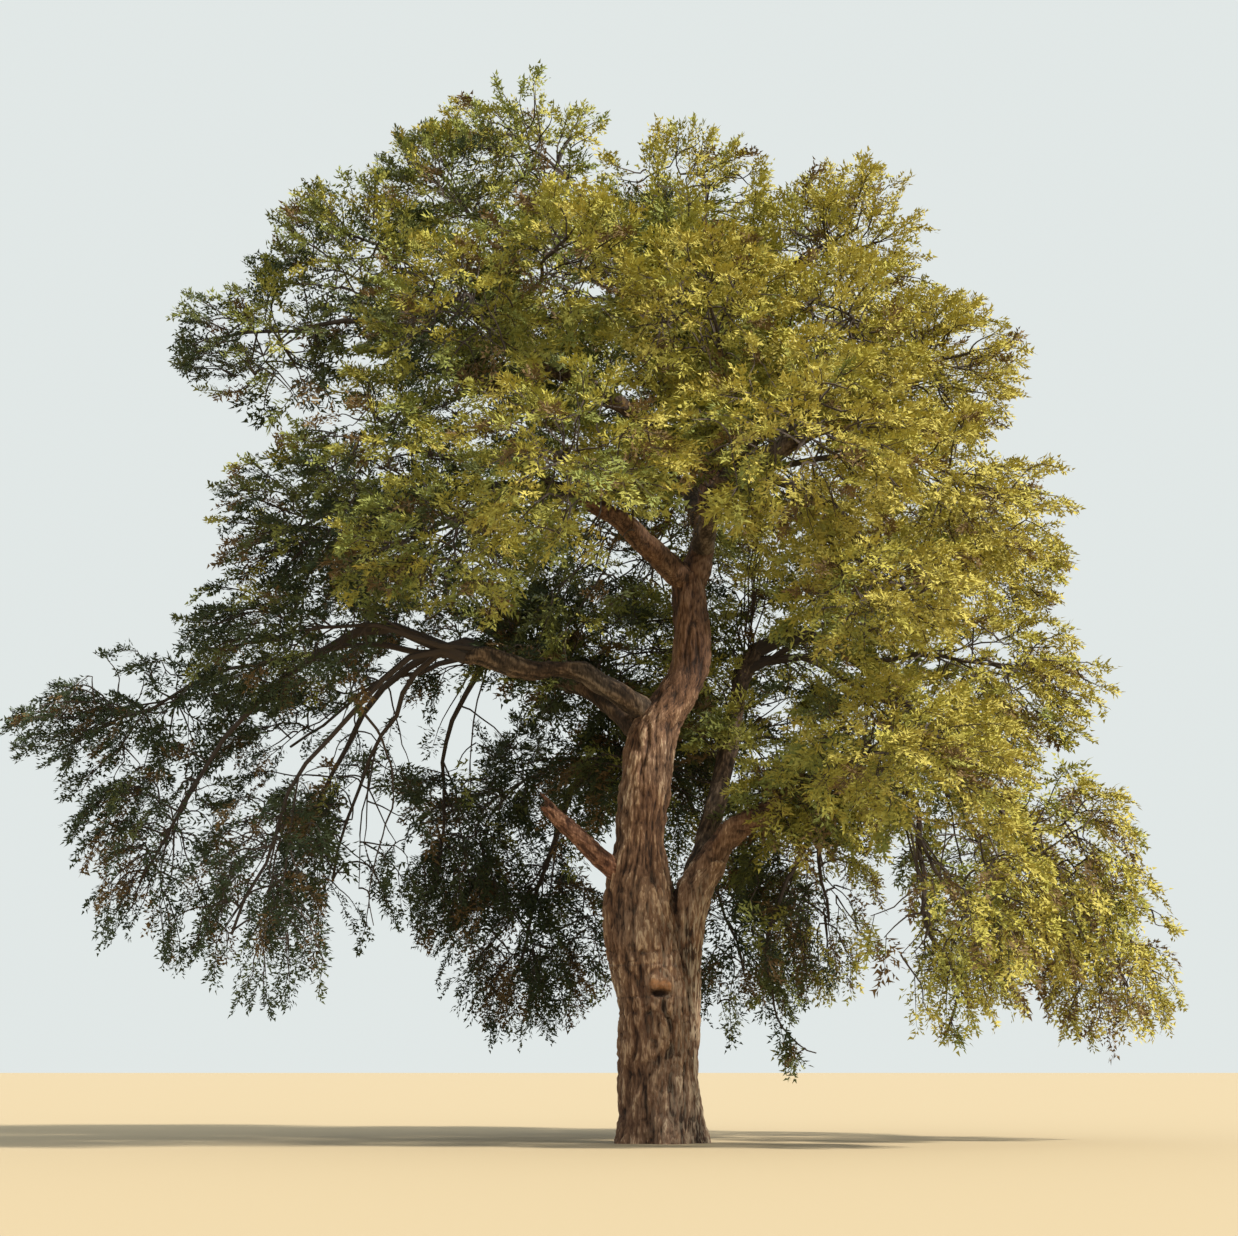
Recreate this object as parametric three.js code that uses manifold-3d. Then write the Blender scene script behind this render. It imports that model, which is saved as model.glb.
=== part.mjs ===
// A ghaf tree: a short thick trunk of two fused stems, a broken stub, eleven boughs and a wide,
// domed crown of fine foliage whose lower skirts hang almost to the ground.
// Millimetres. +Z is up, +X is to the right of the tree's front view and +Y runs away from it.
// The origin is the middle of the flat cut at ground level. Headings are degrees turned from +X
// towards +Y, so 90 is behind the trunk, 180 to its left and 270 in front of it.
import * as THREE from "three";
import { mergeVertices } from "three/addons/utils/BufferGeometryUtils.js";
import Module from "manifold-3d";

const wasm = await Module();
wasm.setup();

const METRE = 1000;
const CLEARANCE = 0.3; // between a limb and what carries it
const UP = new THREE.Vector3(0, 0, 1);

// The main stem and the second stem that is fused to its right side, from the ground upwards.
// Each row is height, sideways place of the axis and radius, in metres.
const MAIN_STEM = [
  [0.0, -0.02, 0.47],
  [0.35, -0.04, 0.43],
  [0.75, -0.06, 0.4],
  [1.4, -0.08, 0.4],
  [2.1, -0.19, 0.42],
  [2.6, -0.24, 0.38],
  [3.2, -0.24, 0.27],
  [3.7, -0.19, 0.28],
  [4.35, -0.09, 0.27],
  [4.75, 0.14, 0.25],
  [5.1, 0.32, 0.21],
  [6.1, 0.29, 0.2],
];
const SECOND_STEM = [
  [0.0, 0.24, 0.25],
  [0.75, 0.19, 0.2],
  [1.4, 0.22, 0.19],
  [2.1, 0.23, 0.2],
  [2.6, 0.31, 0.22],
  [2.95, 0.5, 0.22],
];
const ROOT_FLARE = { lobes: 5, depth: 0.16, height: 0.55, turn: 0.4 };
const TRUNK_SIDES = 14;
const TRUNK_STEPS = 14;

// Each bough leaves its parent `at` a share of the parent's length and ends at a tip given by heading,
// reach from the trunk's foot and height. Its middle is raised by `arch` and moved to the right by
// `sway`. Sizes are in metres.
const BOUGHS = {
  second_leader: { from: "second_stem", at: 0.93, tip: [-12, 1.75, 3.85], arch: 0.12, radii: [0.2, 0.1] },
  right_rear_bough: { from: "second_stem", at: 0.88, tip: [43, 1.5, 5.5], arch: -0.1, radii: [0.15, 0.1] },
  left_bough: { from: "main_stem", at: 0.73, tip: [196, 2.25, 5.15], arch: 0.14, radii: [0.15, 0.085] },
  back_bough: { from: "main_stem", at: 0.55, tip: [98, 2.1, 4.35], arch: 0.25, radii: [0.17, 0.095] },
  left_rear_bough: { from: "main_stem", at: 0.69, tip: [143, 2.5, 5.4], arch: 0.14, radii: [0.11, 0.075] },
  upper_left_bough: { from: "main_stem", at: 0.985, tip: [232, 1.75, 6.75], arch: 0.08, radii: [0.15, 0.085] },
  centre_leader: { from: "main_stem", at: 0.97, tip: [38, 0.55, 9.1], sway: 0.28, radii: [0.165, 0.085] },
  front_right_bough: { from: "centre_leader", at: 0.14, tip: [291, 2.2, 6.9], arch: 0.2, radii: [0.12, 0.08] },
  high_rear_bough: { from: "centre_leader", at: 0.24, tip: [88, 2.1, 7.6], arch: 0.15, radii: [0.12, 0.08] },
  high_right_bough: { from: "centre_leader", at: 0.34, tip: [2, 2.1, 7.9], arch: 0.12, radii: [0.11, 0.075] },
  high_left_bough: { from: "centre_leader", at: 0.44, tip: [186, 1.9, 8.7], arch: 0.15, radii: [0.11, 0.075] },
};
const BOUGH_SIDES = 6;
const BOUGH_STEPS = 5;
const STUB = { from: "main_stem", at: 0.42, tip: [197, 1.36, 3.6], radii: [0.125, 0.075] };

// The crown's masses of foliage, tier by tier. A tier has its masses' half-sizes outward, across and
// upward, the angle by which the outer side sinks, and the rise of its twigs as they run outward.
// Each mass is heading, reach, height, scale and the bough that carries it.
const TIERS = {
  skirt: {
    half: [1.05, 1.2, 1.35],
    sink: 0,
    rise: -1.9,
    masses: [
      [183, 5.35, 3.15, 1.0, "left_bough"],
      [190, 4.3, 2.6, 0.98, "left_bough"],
      [169, 3.45, 3.3, 0.85, "left_bough"],
      [151, 4.8, 3.3, 1.05, "left_rear_bough"],
      [132, 3.75, 3.4, 0.95, "left_rear_bough"],
      [113, 3.95, 2.45, 1.08, "back_bough"],
      [76, 3.75, 2.35, 0.95, "back_bough"],
      [45, 2.55, 2.8, 0.95, "second_leader"],
      [30, 4.5, 2.95, 1.05, "right_rear_bough"],
      [8, 4.95, 2.1, 0.88, "second_leader"],
      [355, 4.25, 2.95, 0.98, "second_leader"],
      [323, 3.55, 2.4, 0.98, "second_leader"],
    ],
  },
  shoulder: {
    half: [1.5, 1.4, 0.98],
    sink: 14,
    rise: -0.35,
    masses: [
      [177, 5.82, 4.65, 0.95, "left_bough"],
      [195, 3.92, 5.36, 1.0, "left_bough"],
      [148, 4.55, 4.85, 1.1, "left_rear_bough"],
      [115, 4.3, 4.15, 1.1, "back_bough"],
      [74, 4.3, 4.75, 1.12, "back_bough"],
      [42, 4.2, 4.75, 1.12, "right_rear_bough"],
      [358, 3.6, 5.0, 0.93, "right_rear_bough"],
      [313, 3.5, 3.9, 0.92, "second_leader"],
      [304, 3.7, 5.4, 0.85, "front_right_bough"],
      [96, 1.95, 5.4, 1.0, "left_rear_bough"],
    ],
  },
  middle: {
    half: [1.3, 1.35, 1.08],
    sink: 6,
    rise: -0.1,
    masses: [
      [197, 3.8, 6.45, 0.97, "upper_left_bough"],
      [221, 3.75, 6.95, 0.85, "upper_left_bough"],
      [236, 3.85, 5.8, 0.88, "upper_left_bough"],
      [257, 4.1, 6.45, 0.97, "upper_left_bough"],
      [290, 3.9, 6.75, 1.0, "front_right_bough"],
      [328, 3.65, 6.6, 0.95, "front_right_bough"],
      [7, 3.5, 6.5, 0.93, "right_rear_bough"],
      [47, 3.9, 6.9, 1.1, "high_rear_bough"],
      [90, 4.05, 7.0, 1.15, "high_rear_bough"],
      [136, 4.05, 7.0, 1.15, "high_rear_bough"],
    ],
  },
  upper: {
    half: [1.25, 1.3, 1.05],
    sink: 0,
    rise: 0.35,
    masses: [
      [185, 4.35, 8.55, 0.9, "high_left_bough"],
      [229, 3.2, 8.35, 0.95, "high_left_bough"],
      [251, 2.8, 8.75, 0.9, "high_left_bough"],
      [277, 2.85, 8.3, 0.95, "front_right_bough"],
      [305, 2.8, 8.2, 0.92, "high_right_bough"],
      [346, 3.0, 8.25, 0.92, "high_right_bough"],
      [33, 3.1, 8.5, 1.05, "high_right_bough"],
      [80, 3.0, 8.85, 1.1, "high_rear_bough"],
      [130, 3.1, 8.9, 1.1, "high_left_bough"],
    ],
  },
  top: {
    half: [1.2, 1.2, 1.08],
    sink: 0,
    rise: 1.6,
    masses: [
      [190, 3.4, 9.4, 0.95, "high_left_bough"],
      [180, 2.3, 10.4, 0.9, "high_left_bough"],
      [168, 1.6, 11.05, 0.95, "centre_leader"],
      [25, 0.3, 10.45, 0.92, "centre_leader"],
      [355, 2.0, 9.65, 1.0, "centre_leader"],
      [97, 1.65, 10.0, 1.05, "centre_leader"],
    ],
  },
};

// Foliage, in millimetres, shares and counts.
const SPACE_GAP = 8; // kept between a mass and the plane that parts it from its neighbour
const STEM = { sides: 4, steps: 3, arch: 0.12, radius: 46, tip: 20, hub: 0.42 };
const FIRST_FORK = 80; // how far before a bough's end its last stem leaves it
const NEXT_FORK = 110; // and how much sooner each other stem does
const TWIG = { first: 0.3, last: 0.99, spare: 4, radius: 15, clear: 12 };
const LEAF = { longest: 1500, shortest: 400, widthShare: 0.72, thickShare: 0.05, widest: 0.48 };
const LEAF_WAY = { flow: 0.45, along: 0.35, wander: 0.4 }; // how far a leaf turns from straight out
const SPRAYS_A_MASS = 9;
const TURNS = 4; // ways of turning a leaf that are tried before it is left out
const SMALLEST_EDGE = 6; // shorter ones, left where twigs meet, are closed up
const SHELL = [0.22, 0.3]; // how far out in its space a twig ends, at least and at most
const STRAY = 0.9; // how much a twig that turns away from the flow costs
const HALVINGS = 12; // steps in finding how far a leaf can reach
const LIMB_PIECES = 10; // straight pieces that stand for a limb's axis

const BARK = { color: 0x6b4a35, roughness: 0.95, metalness: 0 };
const BARE_WOOD = { color: 0xa98a68, roughness: 0.85, metalness: 0 };
const LEAF_COLOURS = {
  skirt: 0x4f5427,
  shoulder: 0x646628,
  middle: 0x76742d,
  upper: 0x7f7a30,
  top: 0x86813a,
};

// A repeatable stream of numbers from 0 to 1.
function stream(seed) {
  let state = (seed * 7919 + 12345) % 4294967296;
  return () => {
    state = (state * 1664525 + 1013904223) % 4294967296;
    return state / 4294967296;
  };
}

function place(heading, reach, height) {
  const turn = THREE.MathUtils.degToRad(heading);
  return new THREE.Vector3(Math.cos(turn) * reach, Math.sin(turn) * reach, height).multiplyScalar(METRE);
}

function between([low, high], share) {
  return THREE.MathUtils.lerp(low, high, share);
}

// A closed geometry as a solid that can be cut and joined, and back.
function solidOf(geometry) {
  const bare = geometry.clone().deleteAttribute("normal").deleteAttribute("uv");
  const merged = mergeVertices(bare, 1e-3);
  return new wasm.Manifold(
    new wasm.Mesh({
      numProp: 3,
      vertProperties: merged.attributes.position.array,
      triVerts: new Uint32Array(merged.index.array),
    }),
  );
}

function geometryOf(solid) {
  const mesh = solid.getMesh();
  const positions = new Float32Array(mesh.numVert * 3);
  for (let i = 0; i < mesh.numVert; i++) {
    positions.set(mesh.vertProperties.subarray(i * mesh.numProp, i * mesh.numProp + 3), i * 3);
  }
  const geometry = new THREE.BufferGeometry();
  geometry.setAttribute("position", new THREE.BufferAttribute(positions, 3));
  geometry.setIndex(new THREE.BufferAttribute(mesh.triVerts, 1));
  geometry.computeVertexNormals();
  return geometry;
}

// A closed skin round rings of points: a cylinder whose vertices are moved to `at(step, angle)`, or
// to `at(step)` for the middle of a flat end. A pointed one closes in its last ring.
function loft(sides, steps, pointed, at) {
  const geometry = new THREE.CylinderGeometry(pointed ? 0 : 1, 1, 1, sides, steps);
  const position = geometry.attributes.position;
  for (let i = 0; i < position.count; i++) {
    const [x, y, z] = [position.getX(i), position.getY(i), position.getZ(i)];
    const step = Math.round((y + 0.5) * steps);
    const side = Math.round((Math.atan2(x, z) / (2 * Math.PI)) * sides + sides) % sides;
    const point = Math.hypot(x, z) < 1e-6 ? at(step) : at(step, (side / sides) * 2 * Math.PI);
    position.setXYZ(i, point.x, point.y, point.z);
  }
  const solid = solidOf(geometry);
  if (solid.volume() > 0) return solid;
  geometry.index.array.reverse();
  return solidOf(geometry);
}

// The rings of an upright stem lie level, so that its foot is a flat cut.
function levelFrames(steps) {
  const fill = (x, y, z) => Array.from({ length: steps + 1 }, () => new THREE.Vector3(x, y, z));
  return { tangents: fill(0, 0, 1), normals: fill(1, 0, 0), binormals: fill(0, 1, 0) };
}

// A tapering tube laid along a limb's curve. `grow` makes it that much thicker and longer, for
// cutting what has to stay clear of it.
function limbSolid({ curve, sides, steps, radiusAt, level }, grow = 0) {
  const { tangents, normals, binormals } = level ? levelFrames(steps) : curve.computeFrenetFrames(steps);
  return loft(sides, steps, false, (step, angle) => {
    const point = curve.getPointAt(step / steps);
    if (angle !== undefined) {
      const radius = radiusAt(step / steps, angle) + grow;
      point.addScaledVector(normals[step], Math.cos(angle) * radius);
      point.addScaledVector(binormals[step], Math.sin(angle) * radius);
    }
    if (step === 0) point.addScaledVector(tangents[0], -grow);
    if (step === steps) point.addScaledVector(tangents[steps], grow);
    return point;
  });
}

// A limb's axis as short straight pieces with their radii, for keeping leaves and twigs off it.
function piecesOf(limb) {
  const points = limb.curve.getSpacedPoints(LIMB_PIECES);
  return points.slice(1).map((end, i) => ({
    line: new THREE.Line3(points[i], end),
    radius: limb.radiusAt(i / LIMB_PIECES),
  }));
}

// A stem's rows become a curve through its axis and a radius at each share of its length.
function stemLimb(rows, flare) {
  const points = rows.map(([height, x]) => new THREE.Vector3(x, 0, height).multiplyScalar(METRE));
  const curve = new THREE.CatmullRomCurve3(points);
  const heights = rows.map((row) => row[0]);
  const radiusAt = (share, angle = 0) => {
    const height = Math.min(curve.getPointAt(share).z / METRE, heights.at(-1));
    const above = Math.max(heights.findIndex((h) => h >= height), 1);
    const part = (height - heights[above - 1]) / (heights[above] - heights[above - 1]);
    const radius = between([rows[above - 1][2], rows[above][2]], part);
    const swell = Math.max(0, 1 - height / flare.height) ** 2 * flare.depth;
    return radius * METRE * (1 + swell * Math.cos(flare.lobes * angle + flare.turn));
  };
  return { curve, radiusAt, sides: TRUNK_SIDES, steps: TRUNK_STEPS, level: true };
}

function boughLimb(parent, { at, tip, arch = 0, sway = 0, radii }) {
  const start = parent.curve.getPointAt(at);
  const end = place(...tip);
  const bend = new THREE.Vector3(sway, 0, arch).multiplyScalar(2 * METRE);
  const curve = new THREE.QuadraticBezierCurve3(start, start.clone().lerp(end, 0.5).add(bend), end);
  const radiusAt = (share) => between(radii, share) * METRE;
  return { curve, radiusAt, sides: BOUGH_SIDES, steps: BOUGH_STEPS };
}

// The space of one mass: an ellipsoid that sinks outward, cut by a plane towards each neighbour.
function massSpace(name, tier, [heading, reach, height, scale, bough]) {
  const turn = THREE.MathUtils.degToRad(heading);
  const sink = THREE.MathUtils.degToRad(tier.sink);
  const across = new THREE.Vector3(-Math.sin(turn), Math.cos(turn), 0);
  const out = new THREE.Vector3(Math.cos(turn), Math.sin(turn), 0).applyAxisAngle(across, sink);
  const axes = [out, across, out.clone().cross(across)];
  const flow = new THREE.Vector3(Math.cos(turn), Math.sin(turn), tier.rise).normalize();
  const half = tier.half.map((size) => size * scale * METRE);
  return { name, bough, axes, flow, half, centre: place(heading, reach, height), planes: [] };
}

// How far the uncut ellipsoid reaches from its centre.
function radiusTowards(space, direction) {
  const sum = space.axes.reduce((total, axis, i) => total + (axis.dot(direction) / space.half[i]) ** 2, 0);
  return 1 / Math.sqrt(sum);
}

// Cuts each two spaces that could meet by one plane, nearer to the smaller one.
function partSpaces(spaces) {
  spaces.forEach((a, i) =>
    spaces.slice(i + 1).forEach((b) => {
      const towards = b.centre.clone().sub(a.centre);
      const apart = towards.length();
      if (apart > Math.max(...a.half) + Math.max(...b.half)) return;
      towards.divideScalar(apart);
      const ra = radiusTowards(a, towards);
      const rb = radiusTowards(b, towards);
      const share = (apart ** 2 + ra ** 2 - rb ** 2) / (2 * apart);
      const onPlane = a.centre.clone().addScaledVector(towards, share);
      a.planes.push(new THREE.Plane().setFromNormalAndCoplanarPoint(towards.clone().negate(), onPlane));
      b.planes.push(new THREE.Plane().setFromNormalAndCoplanarPoint(towards, onPlane));
    }),
  );
}

function inside(space, point) {
  const from = point.clone().sub(space.centre);
  const depth = space.axes.reduce((sum, axis, i) => sum + (axis.dot(from) / space.half[i]) ** 2, 0);
  return depth <= 1 && space.planes.every((plane) => plane.distanceToPoint(point) > SPACE_GAP);
}

// How far a straight line can run from a point before it leaves the space.
function roomAlong(space, point, direction) {
  const reaches = (length) => inside(space, point.clone().addScaledVector(direction, length));
  let room = reaches(LEAF.longest) ? LEAF.longest : 0;
  for (let step = LEAF.longest / 2; step > LEAF.longest / 2 ** HALVINGS; step /= 2) {
    if (reaches(room + step)) room += step;
  }
  return Math.min(room, LEAF.longest);
}

function touches(lines, limbPieces) {
  return lines.some((line) =>
    limbPieces.some((piece) => Math.sqrt(line.distanceSqToLine3(piece.line)) < piece.radius + TWIG.clear),
  );
}

// Where a mass's twigs end: an even spread of points over a smaller copy of its space.
function twigEnds(space, random, count) {
  const golden = Math.PI * (3 - Math.sqrt(5));
  const spin = random() * 2 * Math.PI;
  const ends = [];
  for (let i = 0; i < count; i++) {
    const level = 1 - (2 * (i + 0.5)) / count;
    const ring = Math.sqrt(1 - level ** 2);
    const unit = [level, ring * Math.cos(spin + golden * i), ring * Math.sin(spin + golden * i)];
    const share = between(SHELL, random());
    const end = space.centre.clone();
    space.axes.forEach((axis, k) => end.addScaledVector(axis, unit[k] * space.half[k] * share));
    ends.push(end);
  }
  return ends;
}

// Joins each end to the stem by the cheapest free joint: a twig costs its length, and more where it
// turns away from the mass's flow.
function growTwigs(space, stem, ends) {
  const count = ends.length + TWIG.spare;
  const joints = [];
  for (let i = 0; i < count; i++) {
    const joint = stem.curve.getPointAt(between([TWIG.first, TWIG.last], i / (count - 1)));
    if (inside(space, joint)) joints.push(joint);
  }
  return ends.slice(0, joints.length).map((end) => {
    const costs = joints.map((joint) => {
      const span = end.clone().sub(joint);
      const length = span.length();
      return length * (1 + (STRAY * (1 - span.dot(space.flow) / length)) / 2);
    });
    const cheapest = costs.indexOf(Math.min(...costs));
    return { from: joints.splice(cheapest, 1)[0], to: end };
  });
}

// A twig with its leaf, which stands for a whole spray: three-sided all along, thin to the twig's
// end, then a broad flat blade and a pointed tip.
function sprayRings({ from, to }, direction, facing, length) {
  const across = direction.clone().cross(facing).normalize();
  const normal = across.clone().cross(direction);
  const width = length * LEAF.widthShare * 0.5;
  const thick = length * LEAF.thickShare * 0.5;
  return {
    across,
    normal,
    rings: [
      { centre: from, wide: TWIG.radius, high: TWIG.radius },
      { centre: to, wide: TWIG.radius, high: TWIG.radius },
      { centre: to.clone().addScaledVector(direction, length * LEAF.widest), wide: width, high: thick },
      { centre: to.clone().addScaledVector(direction, length), wide: 0, high: 0 },
    ],
  };
}

// The point of a ring at an angle, or its middle.
function sprayPoint({ across, normal, rings }, step, angle) {
  const { centre, wide, high } = rings[step];
  const point = centre.clone();
  if (angle === undefined) return point;
  point.addScaledVector(across, Math.sin(angle) * wide);
  return point.addScaledVector(normal, Math.cos(angle) * high);
}

// A leaf's midrib, its width and its outline.
function leafLines(spray) {
  const [left, right] = [1, 2].map((side) => sprayPoint(spray, 2, (side / 3) * 2 * Math.PI));
  const [, start, , end] = spray.rings.map((ring) => ring.centre);
  const pairs = [[start, end], [left, right], [start, left], [left, end], [start, right], [right, end]];
  return pairs.map(([a, b]) => new THREE.Line3(a, b));
}

// The leaf runs from the twig's end as far as its space goes, and is left out where that is too
// little or where it would touch a limb.
function sprayOf(space, twig, direction, facing, limbPieces) {
  const room = roomAlong(space, twig.to, direction);
  if (room < LEAF.shortest) return null;
  const spray = sprayRings(twig, direction, facing, room);
  const lines = leafLines(spray);
  if (!lines.every((line) => inside(space, line.start) && inside(space, line.end))) return null;
  if (touches(lines, limbPieces)) return null;
  return loft(3, 3, true, (step, angle) => sprayPoint(spray, step, angle));
}

// The stem runs from near its bough's tip through the space and past its middle.
function stemOf(space, bough, order) {
  const reach = radiusTowards(space, space.flow);
  const hub = space.centre.clone().addScaledVector(space.flow, reach * STEM.hub);
  const setBack = FIRST_FORK + NEXT_FORK * order;
  const start = bough.curve.getPointAt(1 - setBack / bough.curve.getLength());
  const middle = start.clone().lerp(hub, 0.5).addScaledVector(UP, start.distanceTo(hub) * STEM.arch);
  const curve = new THREE.QuadraticBezierCurve3(start, middle, hub);
  const radiusAt = (share) => between([STEM.radius, STEM.tip], share);
  return { curve, radiusAt, sides: STEM.sides, steps: STEM.steps };
}

// One mass: its stem with every spray that fits, each turned until it is clear of those before it.
function massSolid(space, stem, limbPieces, seed) {
  const random = stream(seed);
  const sprays = [];
  for (const twig of growTwigs(space, stem, twigEnds(space, random, SPRAYS_A_MASS))) {
    const along = twig.to.clone().sub(twig.from).normalize();
    const outward = twig.to.clone().sub(space.centre).normalize();
    const wander = new THREE.Vector3(random() - 0.5, random() - 0.5, random() - 0.5);
    const way = outward.clone().addScaledVector(space.flow, LEAF_WAY.flow);
    way.addScaledVector(along, LEAF_WAY.along).addScaledVector(wander, LEAF_WAY.wander).normalize();
    for (let turn = 0; turn < TURNS; turn++) {
      const facing = wander.clone().applyAxisAngle(way, (turn * Math.PI) / TURNS);
      const spray = sprayOf(space, twig, way, facing, limbPieces);
      if (spray && sprays.every((other) => other.intersect(spray).isEmpty())) {
        sprays.push(spray);
        break;
      }
    }
  }
  return wasm.Manifold.union([limbSolid(stem), ...sprays]).simplify(SMALLEST_EDGE);
}

function largestPiece(solid) {
  return solid.decompose().sort((a, b) => b.volume() - a.volume())[0];
}

const tree = new THREE.Group();
tree.name = "ghaf_tree";

function add(name, solid, look) {
  const mesh = new THREE.Mesh(geometryOf(solid), new THREE.MeshStandardMaterial(look));
  mesh.name = name;
  tree.add(mesh);
}

// Trunk: both stems in one solid. `grown` holds each limb with its clearance, to cut others by.
const limbs = {
  main_stem: stemLimb(MAIN_STEM, ROOT_FLARE),
  second_stem: stemLimb(SECOND_STEM, ROOT_FLARE),
};
const bothStems = (grow) => limbSolid(limbs.main_stem, grow).add(limbSolid(limbs.second_stem, grow));
const grown = { trunk: bothStems(CLEARANCE) };
add("trunk", bothStems(0), BARK);

// Boughs and the broken stub, each cut clear of the trunk and of every limb before it.
for (const [name, bough] of Object.entries({ ...BOUGHS, broken_stub: STUB })) {
  limbs[name] = boughLimb(limbs[bough.from], bough);
  const cut = Object.values(grown).reduce((rest, other) => rest.subtract(other), limbSolid(limbs[name]));
  add(name, largestPiece(cut), name === "broken_stub" ? BARE_WOOD : BARK);
  grown[name] = limbSolid(limbs[name], CLEARANCE);
}

// Foliage. Each mass is cut clear of its bough and of the stems that leave the same bough before it.
const spaces = Object.entries(TIERS).flatMap(([tierName, tier]) =>
  tier.masses.map((row, i) => massSpace(`${tierName}_foliage_${i + 1}`, tier, row)),
);
partSpaces(spaces);
const stems = spaces.map((space, i) => {
  const order = spaces.slice(0, i).filter((other) => other.bough === space.bough).length;
  return stemOf(space, limbs[space.bough], order);
});
const limbPieces = Object.values(limbs).flatMap(piecesOf);
const grownStems = stems.map((stem) => limbSolid(stem, CLEARANCE));
spaces.forEach((space, i) => {
  const others = [...limbPieces, ...stems.filter((stem) => stem !== stems[i]).flatMap(piecesOf)];
  const neighbours = grownStems.slice(0, i).filter((_, k) => spaces[k].bough === space.bough);
  const mass = massSolid(space, stems[i], others, i + 1);
  const cut = [grown[space.bough], ...neighbours].reduce((rest, other) => rest.subtract(other), mass);
  const color = LEAF_COLOURS[space.name.split("_")[0]];
  add(space.name, largestPiece(cut), { color, roughness: 0.7, metalness: 0 });
});

export default tree;
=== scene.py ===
from math import cos, pi, radians, sin, sqrt

import bpy
import numpy as np
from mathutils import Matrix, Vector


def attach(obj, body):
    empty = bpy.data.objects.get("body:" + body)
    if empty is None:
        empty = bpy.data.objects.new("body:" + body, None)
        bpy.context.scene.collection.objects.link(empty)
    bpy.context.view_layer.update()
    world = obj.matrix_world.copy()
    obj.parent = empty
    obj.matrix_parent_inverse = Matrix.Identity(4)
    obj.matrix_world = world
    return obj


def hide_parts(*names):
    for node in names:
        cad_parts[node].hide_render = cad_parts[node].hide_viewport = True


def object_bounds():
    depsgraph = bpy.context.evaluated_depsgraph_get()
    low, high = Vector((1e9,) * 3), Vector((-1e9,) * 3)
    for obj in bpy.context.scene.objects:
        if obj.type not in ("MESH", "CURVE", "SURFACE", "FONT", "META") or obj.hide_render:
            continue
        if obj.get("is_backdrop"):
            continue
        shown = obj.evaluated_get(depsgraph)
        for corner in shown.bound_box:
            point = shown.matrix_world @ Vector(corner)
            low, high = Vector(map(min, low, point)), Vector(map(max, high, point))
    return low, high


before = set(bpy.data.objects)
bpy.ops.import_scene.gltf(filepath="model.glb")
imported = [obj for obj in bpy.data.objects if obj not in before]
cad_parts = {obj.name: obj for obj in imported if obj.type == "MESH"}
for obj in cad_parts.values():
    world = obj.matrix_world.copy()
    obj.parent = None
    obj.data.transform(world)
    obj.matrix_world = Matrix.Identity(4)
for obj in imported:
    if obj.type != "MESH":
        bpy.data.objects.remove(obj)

cad_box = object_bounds()

UP = np.array([0.0, 0.0, 1.0])
GOLDEN = pi * (3 - sqrt(5))

# Stems: at each height, the sideways place of the axis and the radius.
STEMS = {
    "main_stem": [
        (0.0, -0.02, 0.47), (0.35, -0.04, 0.43), (0.75, -0.06, 0.4), (1.4, -0.08, 0.4), (2.1, -0.19, 0.42),
        (2.6, -0.24, 0.38), (3.2, -0.24, 0.27), (3.7, -0.19, 0.28), (4.35, -0.09, 0.27),
        (4.75, 0.14, 0.25), (5.1, 0.32, 0.21), (6.1, 0.29, 0.2),
    ],
    "second_stem": [
        (0.0, 0.24, 0.25), (0.75, 0.19, 0.2), (1.4, 0.22, 0.19), (2.1, 0.23, 0.2), (2.6, 0.31, 0.22),
        (2.95, 0.5, 0.22),
    ],
}
FLARE_LOBES = 5
FLARE_DEPTH = 0.16
FLARE_HEIGHT = 0.55
FLARE_TURN = 0.4

# Boughs: parent, share of the parent's length, tip as heading, reach and height, arch of the middle,
# its sway to the right, and the radii at both ends.
BOUGHS = {
    "second_leader": ("second_stem", 0.93, (-12, 1.75, 3.85), 0.12, 0, (0.2, 0.1)),
    "right_rear_bough": ("second_stem", 0.88, (43, 1.5, 5.5), -0.1, 0, (0.15, 0.1)),
    "left_bough": ("main_stem", 0.73, (196, 2.25, 5.15), 0.14, 0, (0.15, 0.085)),
    "back_bough": ("main_stem", 0.55, (98, 2.1, 4.35), 0.25, 0, (0.17, 0.095)),
    "left_rear_bough": ("main_stem", 0.69, (143, 2.5, 5.4), 0.14, 0, (0.11, 0.075)),
    "upper_left_bough": ("main_stem", 0.985, (232, 1.75, 6.75), 0.08, 0, (0.15, 0.085)),
    "centre_leader": ("main_stem", 0.97, (38, 0.55, 9.1), 0, 0.28, (0.165, 0.085)),
    "front_right_bough": ("centre_leader", 0.14, (291, 2.2, 6.9), 0.2, 0, (0.12, 0.08)),
    "high_rear_bough": ("centre_leader", 0.24, (88, 2.1, 7.6), 0.15, 0, (0.12, 0.08)),
    "high_right_bough": ("centre_leader", 0.34, (2, 2.1, 7.9), 0.12, 0, (0.11, 0.075)),
    "high_left_bough": ("centre_leader", 0.44, (186, 1.9, 8.7), 0.15, 0, (0.11, 0.075)),
}
STUB = ("main_stem", 0.42, (197, 1.36, 3.6), 0, 0, (0.125, 0.075))

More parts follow.
